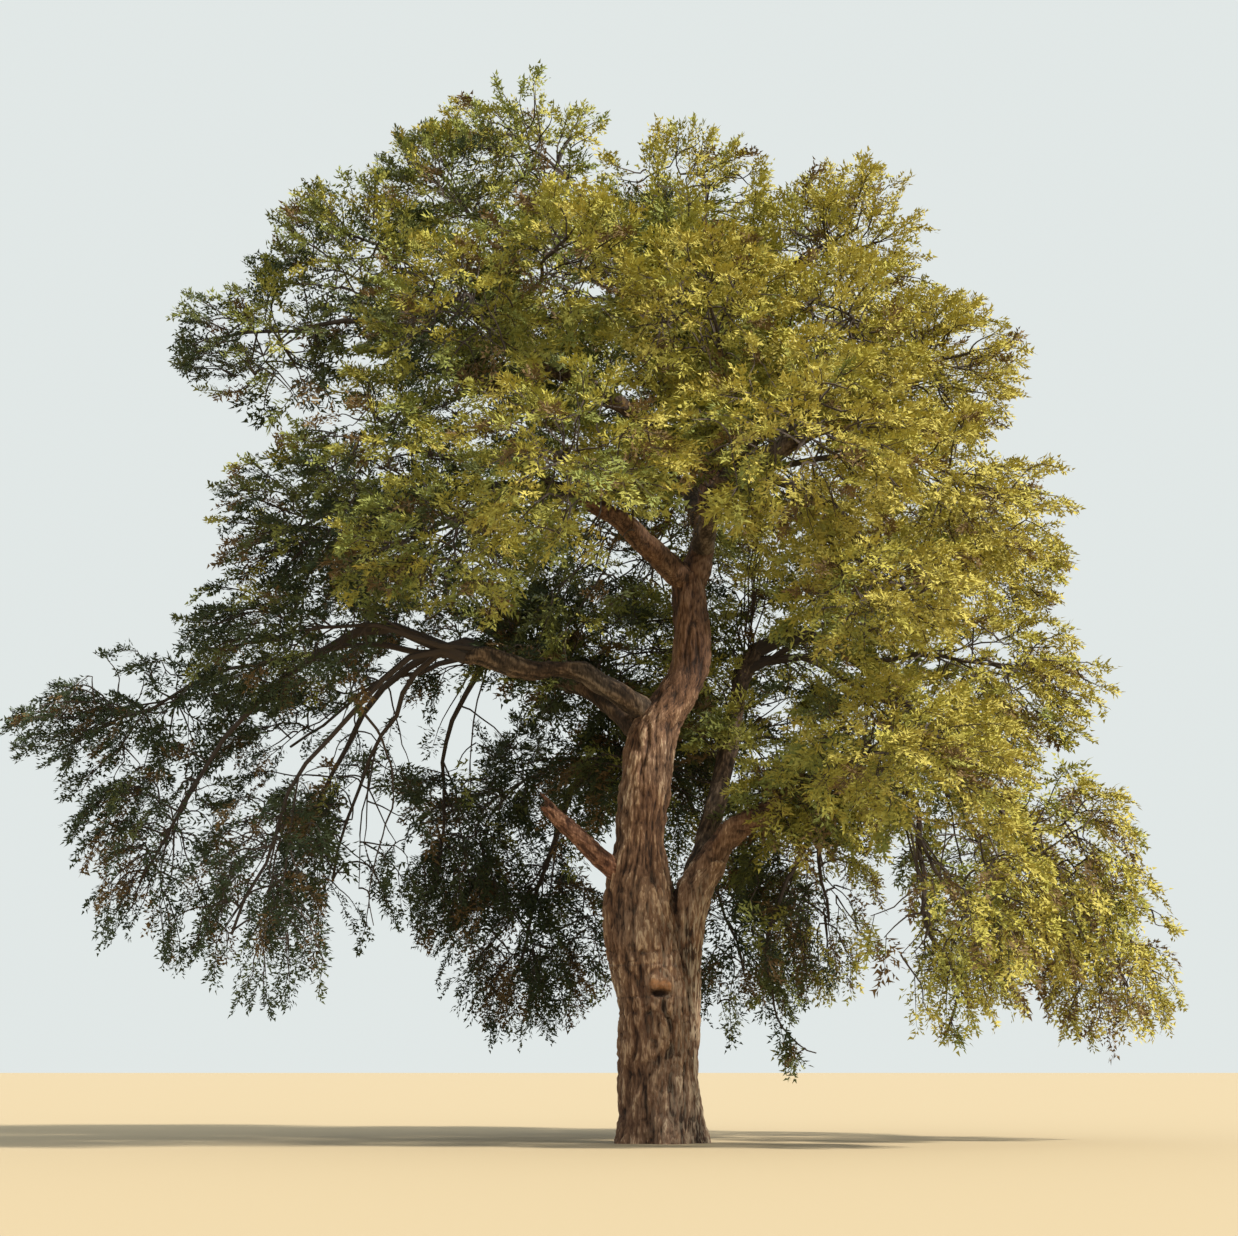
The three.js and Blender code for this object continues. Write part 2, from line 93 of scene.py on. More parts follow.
# Masses of foliage, tier by tier: half-sizes outward, across and upward, the angle by which the outer
# side sinks, the rise of the twigs, then each mass's heading, reach, height, scale and bough.
TIERS = {
    "skirt": ((1.05, 1.2, 1.35), 0, -1.9, [
        (183, 5.35, 3.15, 1.0, "left_bough"),
        (190, 4.3, 2.6, 0.98, "left_bough"),
        (169, 3.45, 3.3, 0.85, "left_bough"),
        (151, 4.8, 3.3, 1.05, "left_rear_bough"),
        (132, 3.75, 3.4, 0.95, "left_rear_bough"),
        (113, 3.95, 2.45, 1.08, "back_bough"),
        (76, 3.75, 2.35, 0.95, "back_bough"),
        (45, 2.55, 2.8, 0.95, "second_leader"),
        (30, 4.5, 2.95, 1.05, "right_rear_bough"),
        (8, 4.95, 2.1, 0.88, "second_leader"),
        (355, 4.25, 2.95, 0.98, "second_leader"),
        (323, 3.55, 2.4, 0.98, "second_leader"),
    ]),
    "shoulder": ((1.5, 1.4, 0.98), 14, -0.35, [
        (177, 5.82, 4.65, 0.95, "left_bough"),
        (195, 3.92, 5.36, 1.0, "left_bough"),
        (148, 4.55, 4.85, 1.1, "left_rear_bough"),
        (115, 4.3, 4.15, 1.1, "back_bough"),
        (74, 4.3, 4.75, 1.12, "back_bough"),
        (42, 4.2, 4.75, 1.12, "right_rear_bough"),
        (358, 3.6, 5.0, 0.93, "right_rear_bough"),
        (313, 3.5, 3.9, 0.92, "second_leader"),
        (304, 3.7, 5.4, 0.85, "front_right_bough"),
        (96, 1.95, 5.4, 1.0, "left_rear_bough"),
    ]),
    "middle": ((1.3, 1.35, 1.08), 6, -0.1, [
        (197, 3.8, 6.45, 0.97, "upper_left_bough"),
        (221, 3.75, 6.95, 0.85, "upper_left_bough"),
        (236, 3.85, 5.8, 0.88, "upper_left_bough"),
        (257, 4.1, 6.45, 0.97, "upper_left_bough"),
        (290, 3.9, 6.75, 1.0, "front_right_bough"),
        (328, 3.65, 6.6, 0.95, "front_right_bough"),
        (7, 3.5, 6.5, 0.93, "right_rear_bough"),
        (47, 3.9, 6.9, 1.1, "high_rear_bough"),
        (90, 4.05, 7.0, 1.15, "high_rear_bough"),
        (136, 4.05, 7.0, 1.15, "high_rear_bough"),
    ]),
    "upper": ((1.25, 1.3, 1.05), 0, 0.35, [
        (185, 4.35, 8.55, 0.9, "high_left_bough"),
        (229, 3.2, 8.35, 0.95, "high_left_bough"),
        (251, 2.8, 8.75, 0.9, "high_left_bough"),
        (277, 2.85, 8.3, 0.95, "front_right_bough"),
        (305, 2.8, 8.2, 0.92, "high_right_bough"),
        (346, 3.0, 8.25, 0.92, "high_right_bough"),
        (33, 3.1, 8.5, 1.05, "high_right_bough"),
        (80, 3.0, 8.85, 1.1, "high_rear_bough"),
        (130, 3.1, 8.9, 1.1, "high_left_bough"),
    ]),
    "top": ((1.2, 1.2, 1.08), 0, 1.6, [
        (190, 3.4, 9.4, 0.95, "high_left_bough"),
        (180, 2.3, 10.4, 0.9, "high_left_bough"),
        (168, 1.6, 11.05, 0.95, "centre_leader"),
        (25, 0.3, 10.45, 0.92, "centre_leader"),
        (355, 2.0, 9.65, 1.0, "centre_leader"),
        (97, 1.65, 10.0, 1.05, "centre_leader"),
    ]),
}
SPACE_GAP = 0.008
STEM_ARCH = {"skirt": 0.55, "shoulder": 0.16, "middle": 0.12, "upper": 0.12, "top": 0.12}
STEM_HUB = 0.42  # where a mass's stem ends, on the way from its middle out
FIRST_FORK = 0.08
NEXT_FORK = 0.11
JOINTS_FROM_TO = (0.3, 0.99)
SPARE_JOINTS = 4
COARSE_TWIGS = 9
SHELL = (0.22, 0.3)
STRAY = 0.9
WAY_FLOW = 0.45
WAY_ALONG = 0.35
WAY_WANDER = 0.4
LONGEST_SPRAY = 1.5
SHORTEST_SPRAY = 0.4


# Curves and spaces of the source

class Curve:
    """A curve that gives its points at shares of its length."""

    def __init__(self, path):
        self.path = path
        self.times = np.linspace(0, 1, 201)
        steps = np.linalg.norm(np.diff(path(self.times), axis=0), axis=1)
        self.reached = np.concatenate([[0], np.cumsum(steps)])
        self.length = self.reached[-1]

    def at(self, shares):
        times = np.interp(np.asarray(shares, float) * self.length, self.reached, self.times)
        points = self.path(np.atleast_1d(times))
        return points if np.ndim(shares) else points[0]


def unit(vectors):
    return vectors / np.maximum(np.linalg.norm(vectors, axis=-1, keepdims=True), 1e-9)


def smooth_through(points):
    """A centripetal Catmull-Rom curve through points."""
    points = np.asarray(points, float)
    padded = np.vstack([2 * points[0] - points[1], points, 2 * points[-1] - points[-2]])
    spans = len(points) - 1

    def path(times):
        index = np.minimum((times * spans).astype(int), spans - 1)
        part = (times * spans - index)[:, None]
        p0, p1, p2, p3 = (padded[index + k] for k in range(4))
        d0, d1, d2 = (
            np.sqrt(np.linalg.norm(b - a, axis=1))[:, None] for a, b in ((p0, p1), (p1, p2), (p2, p3))
        )
        start = ((p1 - p0) / d0 - (p2 - p0) / (d0 + d1) + (p2 - p1) / d1) * d1
        end = ((p2 - p1) / d1 - (p3 - p1) / (d1 + d2) + (p3 - p2) / d2) * d1
        square = -3 * p1 + 3 * p2 - 2 * start - end
        cube = 2 * p1 - 2 * p2 + start + end
        return p1 + start * part + square * part**2 + cube * part**3

    return Curve(path)


def bent(start, middle, end):
    """A curve that leaves start towards middle and comes in to end from it."""

    def path(times):
        t = times[:, None]
        return (1 - t) ** 2 * start + 2 * t * (1 - t) * middle + t**2 * end

    return Curve(path)


def place(heading, reach, height):
    turn = radians(heading)
    return np.array([cos(turn) * reach, sin(turn) * reach, height])


def stream(seed):
    """The source's repeatable numbers from 0 to 1."""
    state = (seed * 7919 + 12345) % 2**32
    while True:
        state = (state * 1664525 + 1013904223) % 2**32
        yield state / 2**32


class Space:
    """The space of one mass: an ellipsoid that sinks outward, cut by a plane towards each neighbour."""

    def __init__(self, tier, order, half, sink, rise, row):
        heading, reach, height, scale, self.bough = row
        self.tier = tier
        self.number = order + 1
        self.node = f"{tier}_foliage_{self.number}"
        turn = radians(heading)
        across = np.array([-sin(turn), cos(turn), 0])
        out = place(heading, cos(radians(sink)), -sin(radians(sink)))
        self.axes = np.array([out, across, np.cross(out, across)])
        self.flow = unit(np.array([cos(turn), sin(turn), rise]))
        self.half = np.array(half) * scale
        self.centre = place(heading, reach, height)
        self.planes = []

    def depth(self, points):
        """0 at the middle of the ellipsoid, 1 on its skin."""
        shares = (points - self.centre) @ self.axes.T / self.half
        return np.sqrt((shares**2).sum(-1))

    def holds(self, points):
        inside = self.depth(points) <= 1
        for normal, on_plane in self.planes:
            inside &= (points - on_plane) @ normal > SPACE_GAP
        return inside

    def reach_towards(self, direction):
        return 1 / sqrt((((self.axes @ direction) / self.half) ** 2).sum())

    def room_along(self, point, direction, longest):
        """How far a straight line can run from a point before it leaves the space."""
        lengths = np.linspace(0, longest, 76)
        out = np.flatnonzero(~self.holds(point + lengths[:, None] * direction))
        return lengths[max(out[0] - 1, 0)] if len(out) else longest


def part_spaces(spaces):
    """Cuts each two spaces that could meet by one plane, nearer to the smaller one."""
    for i, a in enumerate(spaces):
        for b in spaces[i + 1:]:
            towards = b.centre - a.centre
            apart = np.linalg.norm(towards)
            if apart > a.half.max() + b.half.max():
                continue
            towards = towards / apart
            ra, rb = a.reach_towards(towards), b.reach_towards(towards)
            on_plane = a.centre + towards * (apart**2 + ra**2 - rb**2) / (2 * apart)
            a.planes.append((-towards, on_plane))
            b.planes.append((towards, on_plane))


# Limbs

def on_stem(name, heights):
    """The sideways place of a stem's axis, and its radius, at heights."""
    levels, places, radii = np.transpose(STEMS[name])
    return np.interp(heights, levels, places), np.interp(heights, levels, radii)


curves = {name: smooth_through([(x, 0, height) for height, x, _ in rows]) for name, rows in STEMS.items()}
limb_radii = {}
parent_radii = {}
for name, (parent, at, tip, arch, sway, radii) in {**BOUGHS, "stub": STUB}.items():
    start = curves[parent].at(at)
    if parent in limb_radii:
        parent_radii[name] = np.interp(at, (0, 1), limb_radii[parent])
    else:
        parent_radii[name] = on_stem(parent, start[2])[1]
    end = place(*tip)
    middle = (start + end) / 2 + 2 * np.array([sway, 0, arch])
    curves[name] = bent(start, middle, end)
    limb_radii[name] = radii

spaces = [
    Space(tier, i, half, sink, rise, row)
    for tier, (half, sink, rise, rows) in TIERS.items()
    for i, row in enumerate(rows)
]
part_spaces(spaces)

for i, space in enumerate(spaces):
    order = sum(other.bough == space.bough for other in spaces[:i])
    bough = curves[space.bough]
    hub = space.centre + space.flow * space.reach_towards(space.flow) * STEM_HUB
    start = bough.at(1 - (FIRST_FORK + NEXT_FORK * order) / bough.length)
    rise = np.linalg.norm(hub - start) * STEM_ARCH[space.tier]
    space.stem = bent(start, (start + hub) / 2 + UP * rise, hub)
    space.order = order
    space.seed = i + 1


def twig_ends(space, numbers, count, shell):
    """An even spread of points over a smaller copy of the space."""
    spin = next(numbers) * 2 * pi
    ends = []
    for i in range(count):
        level = 1 - 2 * (i + 0.5) / count
        ring = sqrt(1 - level**2)
        towards = np.array([level, ring * cos(spin + GOLDEN * i), ring * sin(spin + GOLDEN * i)])
        share = shell[0] + (shell[1] - shell[0]) * next(numbers)
        ends.append(space.centre + (towards * space.half * share) @ space.axes)
    return ends


def joint_costs(space, joints, end):
    """What a twig from each joint costs: its length, and more where it turns from the mass's flow."""
    spans = end - joints
    lengths = np.maximum(np.linalg.norm(spans, axis=1), 1e-6)
    return lengths * (1 + STRAY * (1 - spans @ space.flow / lengths) / 2)


# Noise and warping
WAVES = (1.25, 0.13)  # how many to a metre and how deep
KINKS = (3.7, 0.045)
STIFF = (0.4, 6.2)  # nothing bends this near to the main stem's axis, up to this height
LOOSENS_OVER = 0.7


def stacked(*columns):
    """Columns of numbers as points."""
    return np.stack(np.broadcast_arrays(*columns), axis=-1)


PRIMES = np.array([73856093, 19349663, 83492791])  # they mix the numbers of each corner


def noise(points, seed):
    """Smooth noise from -1 to 1 with one cell to a unit."""
    cell = np.floor(points).astype(np.int64)
    part = points - cell
    part = part * part * (3 - 2 * part)
    total = np.zeros(points.shape[:-1])
    for corner in np.ndindex(2, 2, 2):
        key = np.bitwise_xor.reduce((cell + corner) * PRIMES, axis=-1) ^ seed * 15485863
        key = (key ^ (key >> 13)) * 1274126177 & 0x7FFFFFFF
        key = (key ^ (key >> 16)) & 0xFFFF
        total += np.where(corner, part, 1 - part).prod(-1) * (key / 32768.0 - 1)
    return total


def bell(values):
    """1 at 0, falling off to both sides."""
    return np.exp(-(values**2))


def crooked(points):
    """Bends everything that grows off the trunk by the same gentle waves, so that joints stay joined."""
    shape = points.shape
    points = points.reshape(-1, 3)
    off = np.hypot(points[:, 0] - on_stem("main_stem", points[:, 2])[0], points[:, 1])
    loose = np.clip(np.maximum(off - STIFF[0], points[:, 2] - STIFF[1]) / LOOSENS_OVER, 0, 1)[:, None]
    wave = stacked(*(noise(points * WAVES[0], seed) for seed in (1, 2, 3))) * WAVES[1]
    kink = stacked(*(noise(points * KINKS[0], seed) for seed in (4, 5, 6))) * KINKS[1]
    return (points + (wave + kink) * loose).reshape(shape)


# Meshes

def full_turn(sides):
    return np.arange(sides) / sides * 2 * pi


def round_about(side, other, angles):
    """Directions at angles in the plane of two unit vectors."""
    return side * np.cos(angles)[..., None] + other * np.sin(angles)[..., None]


class Skin:
    """Collects tubes round runs of points and makes them one mesh."""

    def __init__(self):
        self.points = []
        self.quads = []
        self.extra = {}
        self.count = 0

    def add(self, skin, **extra):
        """skin is (tubes, rings, sides, 3); extra holds values for each of its points."""
        tubes, rings, sides, _ = skin.shape
        corner = np.arange(tubes * rings * sides).reshape(tubes, rings, sides) + self.count
        after = np.roll(corner, -1, axis=2)
        quads = np.stack([corner[:, :-1], after[:, :-1], after[:, 1:], corner[:, 1:]], axis=-1)
        self.quads.append(quads.reshape(-1, 4))
        self.points.append(skin.reshape(-1, 3))
        for name, values in extra.items():
            self.extra.setdefault(name, []).append(values.reshape(-1))
        self.count += tubes * rings * sides

    def tubes(self, axes, radii, sides):
        """Round tubes: axes are (tubes, rings, 3) and radii are (tubes, rings)."""
        ahead = unit(np.gradient(axes, axis=1))
        side = unit(np.cross(ahead, UP) + 1e-5)
        across = round_about(side[:, :, None], np.cross(ahead, side)[:, :, None], full_turn(sides))
        self.add(axes[:, :, None] + across * radii[:, :, None, None])

    def crooked_tube(self, axis, radii, sides):
        self.tubes(crooked(axis)[None], radii[None], sides)

    def make(self, name, look, smooth=False):
        extra = {key: np.concatenate(values) for key, values in self.extra.items()}
        return make_object(name, np.vstack(self.points), np.vstack(self.quads), [look], None, smooth, extra)


def make_object(name, points, faces, materials, tones=None, smooth=False, extra=None):
    mesh = bpy.data.meshes.new(name)
    mesh.vertices.add(len(points))
    mesh.vertices.foreach_set("co", points.astype(np.float32).ravel())
    mesh.loops.add(faces.size)
    mesh.loops.foreach_set("vertex_index", faces.astype(np.int32).ravel())
    mesh.polygons.add(len(faces))
    mesh.polygons.foreach_set("loop_start", np.arange(len(faces), dtype=np.int32) * faces.shape[1])
    for material in materials:
        mesh.materials.append(material)
    if tones is not None:
        mesh.polygons.foreach_set("material_index", tones.astype(np.int32))
    mesh.polygons.foreach_set("use_smooth", np.full(len(faces), smooth))
    mesh.update(calc_edges=True)
    for key, values in (extra or {}).items():
        mesh.attributes.new(key, "FLOAT", "POINT").data.foreach_set("value", values.astype(np.float32))
    return link_object(name, mesh)


def link_object(name, data):
    obj = bpy.data.objects.new(name, data)
    bpy.context.scene.collection.objects.link(obj)
    return obj


def fit(obj, slot, nodes):
    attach(obj, "root")
    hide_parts(*nodes)


# Sprays
FINE_SPRAYS = 42  # more sprays in each mass, each from the cheapest twig
DENSER = {  # times as many in these, as in the photo's dark back and full left
    "skirt": {1: 1.2, 2: 1.2, 5: 1.15, 6: 1.4, 7: 1.2},
    "shoulder": {1: 1.3, 10: 1.35},
    "middle": {1: 1.25, 2: 1.15},
    "upper": {1: 1.3, 2: 1.2},
    "top": {1: 1.2, 2: 1.25, 3: 1.2},
}
FINE_SHELL = (0.28, 0.74)
FINE_LONGEST = 0.9
FINE_SHORTEST = 0.16
STEM_HOLDS = np.linspace(0.35, 0.99, 12)  # shares of the stem where a fine twig may start
SPRAY_HOLDS = np.array([0, 0.15, 0.34, 0.53, 0.72, 0.9])  # and of a coarse spray
TWIG_RISE = 0.03  # of a twig's middle
SPRAY_LIFT = 0.05  # of a spray, as a share of its length
DROOP = {"skirt": 0.5, "shoulder": 0.18, "middle": 0.12, "upper": 0.08, "top": 0.02}
FILLERS = (8, 1)  # for each mass along its bough and its stem's start, and how much longer they are
OTHER_FILLERS = {
    "left_bough": (0, 1),
    "centre_leader": (18, 1.6),
    "left_rear_bough": (12, 1.5),
    "front_right_bough": (10, 1.3),
    "back_bough": (10, 1.3),
}
FILLER_LENGTH = (0.4, 0.75)
FILLERS_ON_BOUGH = 0.55  # this share of them, from FILLERS_FROM of its length on
FILLERS_FROM = 0.4
FILLER_WAY = (0.7, 0.25)  # how much they lean along the limb, and up
OFF_BARK = 0.05
PATCHES = (  # thick places between the masses: mass they count to, bough, share along it and middle
    ("middle_foliage_3", "upper_left_bough", 0.6, (-1.29, 0.5, 5.95)),
    ("shoulder_foliage_10", "left_rear_bough", 0.5, (-1.2, 1.2, 5.9)),
    ("skirt_foliage_7", "back_bough", 0.7, (0.38, 2.1, 3.55)),
    ("skirt_foliage_8", "back_bough", 0.8, (0.7, 2.3, 4.2)),
    ("middle_foliage_8", "right_rear_bough", 0.95, (1.05, 1.0, 6.3)),
    ("middle_foliage_7", "right_rear_bough", 0.97, (1.3, 0.8, 6.9)),
    ("upper_foliage_4", "centre_leader", 0.5, (0.25, -1.2, 8.2)),
    ("top_foliage_4", "centre_leader", 0.85, (-0.1, -1.4, 9.1)),
    ("top_foliage_2", "centre_leader", 0.9, (-1.3, -0.7, 9.6)),
)
PATCH_SPRAYS = 6
PATCH_SPREAD = 0.33
PATCH_SLIDE = 0.1  # along the bough, to both sides
PATCH_SPLAY = 0.8
HANGING = (  # old limbs that hang out: mass, share of its stem, first and last radius, and points
    ("skirt_foliage_12", 0.3, (0.042, 0.012), [
        (2.6, -1.6, 3.4), (2.64, -1.62, 2.85), (2.72, -1.65, 2.2), (2.88, -1.65, 1.45), (2.7, -1.7, 1.08),
    ]),
    ("skirt_foliage_8", 0.6, (0.03, 0.008), [
        (1.22, 1.5, 2.1), (1.25, 1.5, 1.63), (1.31, 1.5, 1.29), (1.59, 1.5, 1.02), (1.76, 1.5, 0.96),
    ]),
    ("skirt_foliage_2", 0.35, (0.016, 0.005), [
        (-2.85, -0.4, 3.9), (-2.95, -0.42, 3.2), (-3.05, -0.4, 2.6), (-2.98, -0.4, 2.25),
    ]),
)
HANGING_SPRAYS = np.linspace(0.3, 0.95, 9)  # shares of each where a short spray grows
HANGING_LENGTH = (0.06, 0.12)
HANGING_FLAT = np.array([1, 1, 0.4])  # more sideways than up and down


class Spray:
    """A leafy spray: a twig from a joint to its end, then its way onward and the room for it."""

    def __init__(self, space, joint, end, way, room, filler=False, held=(None, 0)):
        self.space = space
        self.joint, self.end, self.way, self.room = joint, end, way, room
        self.filler = filler  # it is outside the source's rule
        self.held = held  # the spray that it leaves, if any, and where along it
        self.used = 0.0  # how far along it something grows
        self.droop = DROOP[space.tier]
        self.middle = (joint + end) / 2 + UP * TWIG_RISE

    def along(self, shares):
        """Points along it: it starts a little raised and then sinks."""
        lift = (SPRAY_LIFT - self.droop * shares**2)[:, None]
        return self.end + self.way * self.room * shares[:, None] + UP * lift * self.room

    def grow_axis(self, twigs):
        run = self.along(np.linspace(0, self.used, 6))
        axis = smooth_through(np.vstack([self.joint, self.middle, run])).at(np.linspace(0, 1, 8))
        size = (0.6 + 0.4 * self.room) * np.linspace(1, 0, 8) ** 0.8
        twigs.crooked_tube(axis, TWIG_END + (TWIG_BASE - TWIG_END) * size, 3)


def spray_way(space, joint, end, wander):
    """Where a leafy spray runs from its twig's end: outward, with the flow and on along the twig."""
    outward = unit(end - space.centre)
    along = unit(end - joint)
    return unit(outward + WAY_FLOW * space.flow + WAY_ALONG * along + WAY_WANDER * wander)


def coarse_sprays(space):
    """The source's own sprays."""
    numbers = stream(space.seed)
    ends = twig_ends(space, numbers, COARSE_TWIGS, SHELL)
    joints = space.stem.at(np.linspace(*JOINTS_FROM_TO, COARSE_TWIGS + SPARE_JOINTS))
    joints = list(joints[space.holds(joints)])
    sprays = []
    for end in ends[: len(joints)]:
        joint = joints.pop(int(np.argmin(joint_costs(space, np.array(joints), end))))
        way = spray_way(space, joint, end, np.array([next(numbers) - 0.5 for _ in range(3)]))
        room = space.room_along(end, way, LONGEST_SPRAY)
        if room >= SHORTEST_SPRAY:
            sprays.append(Spray(space, joint, end, way, room))
    return sprays


def fine_sprays(space, coarse, rng):
    """More sprays of the same rule, which leave the stem or a coarse twig or spray."""
    joints = [space.stem.at(STEM_HOLDS)]
    holders = [(None, 0)] * len(STEM_HOLDS)
    for spray in coarse:
        joints += [spray.middle[None], spray.along(SPRAY_HOLDS)]
        holders += [(spray, max(share, 0.05)) for share in (0, *SPRAY_HOLDS)]
    joints = np.vstack(joints)
    sprays = []
    count = round(FINE_SPRAYS * DENSER[space.tier].get(space.number, 1))
    for end in twig_ends(space, iter(rng.random, None), count, FINE_SHELL):
        if not space.holds(end[None])[0]:
            continue
        cheapest = int(np.argmin(joint_costs(space, joints, end)))
        way = spray_way(space, joints[cheapest], end, rng.random(3) - 0.5)
        room = space.room_along(end, way, FINE_LONGEST)
        if room >= FINE_SHORTEST:
            sprays.append(Spray(space, joints[cheapest], end, way, room, held=holders[cheapest]))
    return sprays


def filler_sprays(space, rng):
    """Sprays straight from the mass's bough, and from its stem before the mass."""
    count, stretch = OTHER_FILLERS.get(space.bough, FILLERS)
    for i in range(count):
        share = (i + rng.random()) / count
        if share < FILLERS_ON_BOUGH:
            curve, at, radius = curves[space.bough], FILLERS_FROM + share, limb_radii[space.bough][1]
        else:
            curve, at, radius = space.stem, (share - 0.5) * 0.7, STEM_BASE
        joint = curve.at(at)
        ahead = unit(curve.at(min(at + 0.05, 1)) - joint)
        away = unit(np.cross(ahead, rng.normal(0, 1, 3)))
        way = unit(away + FILLER_WAY[0] * ahead + FILLER_WAY[1] * UP)
        room = rng.uniform(*FILLER_LENGTH) * stretch
        yield Spray(space, joint, joint + way * (radius + OFF_BARK), way, room, filler=True)


def patch_sprays(space, rng):
    """Sprays at the places in PATCHES, on long twigs from a bough."""
    for node, bough, share, middle in PATCHES:
        if node != space.node:
            continue
        for spread in rng.normal(0, PATCH_SPREAD, (PATCH_SPRAYS, 3)):
            joint = curves[bough].at(np.clip(share + rng.uniform(-PATCH_SLIDE, PATCH_SLIDE), 0, 1))
            middle_of_spray = np.array(middle) + spread
            way = unit(unit(middle_of_spray - joint) + PATCH_SPLAY * unit(spread))
            room = rng.uniform(*FILLER_LENGTH)
            yield Spray(space, joint, middle_of_spray - way * room / 2, way, room, filler=True)


def hanging_lines(space):
    """The old limbs that hang from the mass, and their first and last radius."""
    for node, share, radii, way_points in HANGING:
        if node == space.node:
            yield smooth_through(np.vstack([space.stem.at(share), way_points])), radii


def hanging_sprays(space, rng):
    for line, _ in hanging_lines(space):
        for joint in line.at(HANGING_SPRAYS):
            way = unit(rng.normal(0, 1, 3) * HANGING_FLAT)
            room = rng.uniform(*HANGING_LENGTH)
            yield Spray(space, joint, joint + 0.03 * way, way, room, filler=True)


# Sky through the crown
EYE = np.array([-0.46, -28.0, 0.78])
OPENINGS = (  # seen from the eye on the upright plane through the trunk: place, half-sizes, shoots left
    # round the left bough
    (-2.41, 5.27, 0.48, 0.12, 0.05), (-2.31, 5.7, 0.55, 0.38, 0.5), (-1.2, 4.7, 0.45, 0.4, 0.6),
    (-1.86, 4.63, 0.37, 0.37, 0.04), (-2.56, 4.42, 0.87, 0.5, 0.1), (-3.39, 4.62, 0.55, 0.42, 0.5),
    (-3.65, 4.26, 0.72, 0.46, 0.28),
    # the left skirts
    (-3.18, 2.64, 0.46, 1.4, 0.08), (-2.77, 3.31, 0.28, 0.37, 0.1), (-4.5, 2.62, 0.5, 0.45, 0.6),
    (-6.05, 2.5, 0.24, 0.54, 0.3), (-3.81, 1.86, 0.3, 0.56, 0.3), (-4.79, 2.5, 1.23, 1.13, 0.52),
    # the left edge, going up
    (-6.72, 3.87, 0.41, 0.28, 0.2), (-6.28, 5.12, 0.68, 0.28, 0.06), (-5.71, 5.36, 0.39, 0.15, 0.1),
    (-4.85, 7.76, 0.35, 0.29, 0.1), (-4.82, 8.17, 0.42, 0.27, 0.15), (-5.09, 9.37, 0.34, 0.29, 0.2),
    # the top
    (-1.26, 11.72, 0.68, 0.29, 0.28), (-0.22, 11.2, 0.29, 0.38, 0.2), (0.46, 11.24, 0.86, 0.27, 0.3),
    # the right edge, going down
    (2.87, 10.09, 0.29, 0.56, 0.3), (3.87, 7.72, 0.38, 0.35, 0.08), (4.45, 7.06, 0.35, 0.55, 0.2),
    (4.67, 5.07, 0.28, 0.31, 0.3), (5.42, 2.24, 0.28, 0.96, 0.3), (4.74, 1.07, 0.47, 0.28, 0.3),
    # beside and behind the right skirt, at the forks and at the foot of the back
    (2.5, 2.08, 0.28, 1.02, 0.07), (1.91, 2.5, 0.39, 0.64, 0.42), (3.07, 1.44, 0.53, 0.38, 0.5),
    (0.15, 7.22, 0.24, 0.13, 0.15), (0.08, 6.44, 0.18, 0.14, 0.05), (1.27, 4.56, 0.18, 0.26, 0.06),
    (-1.83, 1.39, 0.48, 0.37, 0.5), (0.88, 1.44, 0.48, 0.4, 0.38),
)
BARE_IN_FRONT = {  # boughs seen bare: from and to which share, half the strip's width, shoots left
    "upper_left_bough": (0.05, 0.95, 0.2, 0.1),
    "centre_leader": (0.05, 0.8, 0.1, 0.4),
}
LIMB_CLEAR = 0.06  # shoots keep this far off trunk and boughs


def limb_distance(points):
    """How far points lie off the skin of the trunk and the boughs."""
    nearest = np.full(len(points), np.inf)
    for name, curve in curves.items():
        axis = curve.at(np.linspace(0, 1, 25))
        radius = np.linspace(*limb_radii[name], 25) if name in limb_radii else on_stem(name, axis[:, 2])[1]
        gaps = np.linalg.norm(points[:, None] - axis[None], axis=2) - radius
        nearest = np.minimum(nearest, gaps.min(axis=1))
    return nearest


def seen_on_plane(points):
    """Where the lines from the eye to points cross the upright plane through the trunk."""
    return EYE + (points - EYE) * (-EYE[1] / (points[:, 1] - EYE[1]))[:, None]


def opening_share(points):
    """The share of the shoots that is left where the front view shows sky through the crown."""
    seen = seen_on_plane(points)
    share = np.ones(len(points))
    for across, height, half_across, half_height, left in OPENINGS:
        apart = np.hypot((seen[:, 0] - across) / half_across, (seen[:, 2] - height) / half_height)
        share = np.where(apart < 1, np.minimum(share, left), share)
    for bough, (start, end, half, left) in BARE_IN_FRONT.items():
        axis = crooked(curves[bough].at(np.linspace(start, end, 30)))
        gaps = np.linalg.norm(seen[:, None] - seen_on_plane(axis)[None], axis=2)
        before = points[:, 1] < axis[gaps.argmin(axis=1), 1]
        share = np.where((gaps.min(axis=1) < half) & before, np.minimum(share, left), share)
    return share


# Shoots and leaves
SHOOT_STEP = 0.105  # between the shoots along a spray
SHOOT_LENGTH = (0.28, 0.44)
SHORT_SPRAY = 0.2  # a shorter one has shorter shoots
SHOOT_LEAN = radians(42)
LAST_LEAN = 0.2
SHOOT_FLOW = 0.3
SHOOT_REACH = 0.94  # how far out of the space's middle a shoot may end
SHORTER_FROM = 0.85  # and where it starts to be shorter
PAST_LAST_SHOOT = 0.04  # how far a spray runs on, as a share
SHOOT_RADII = (0.006, 0.002)
CROWN_MIDDLE = np.array([-0.3, 0.3, 5.5])
INNER_FROM = -0.3  # further in, a shoot is on the mass's inner side
INNER_SHARE = 0.7  # of the shoots that is left there
INNER_SIZE = 1.5  # of the pinnae there
FILLER_SIZE = 1.2
CLUMP_SIZE = 0.6  # of the lumps and hollows that the foliage makes
HOLLOW_BELOW = -0.14
HOLLOW_SHARE = 0.45
LEAVES_A_SHOOT = 12
LEAF_TWIST = 0.7
LEAF_LEAN = (0.7, 1.2)
RACHIS = (0.1, 0.19)
RACHIS_TILT = 0.9
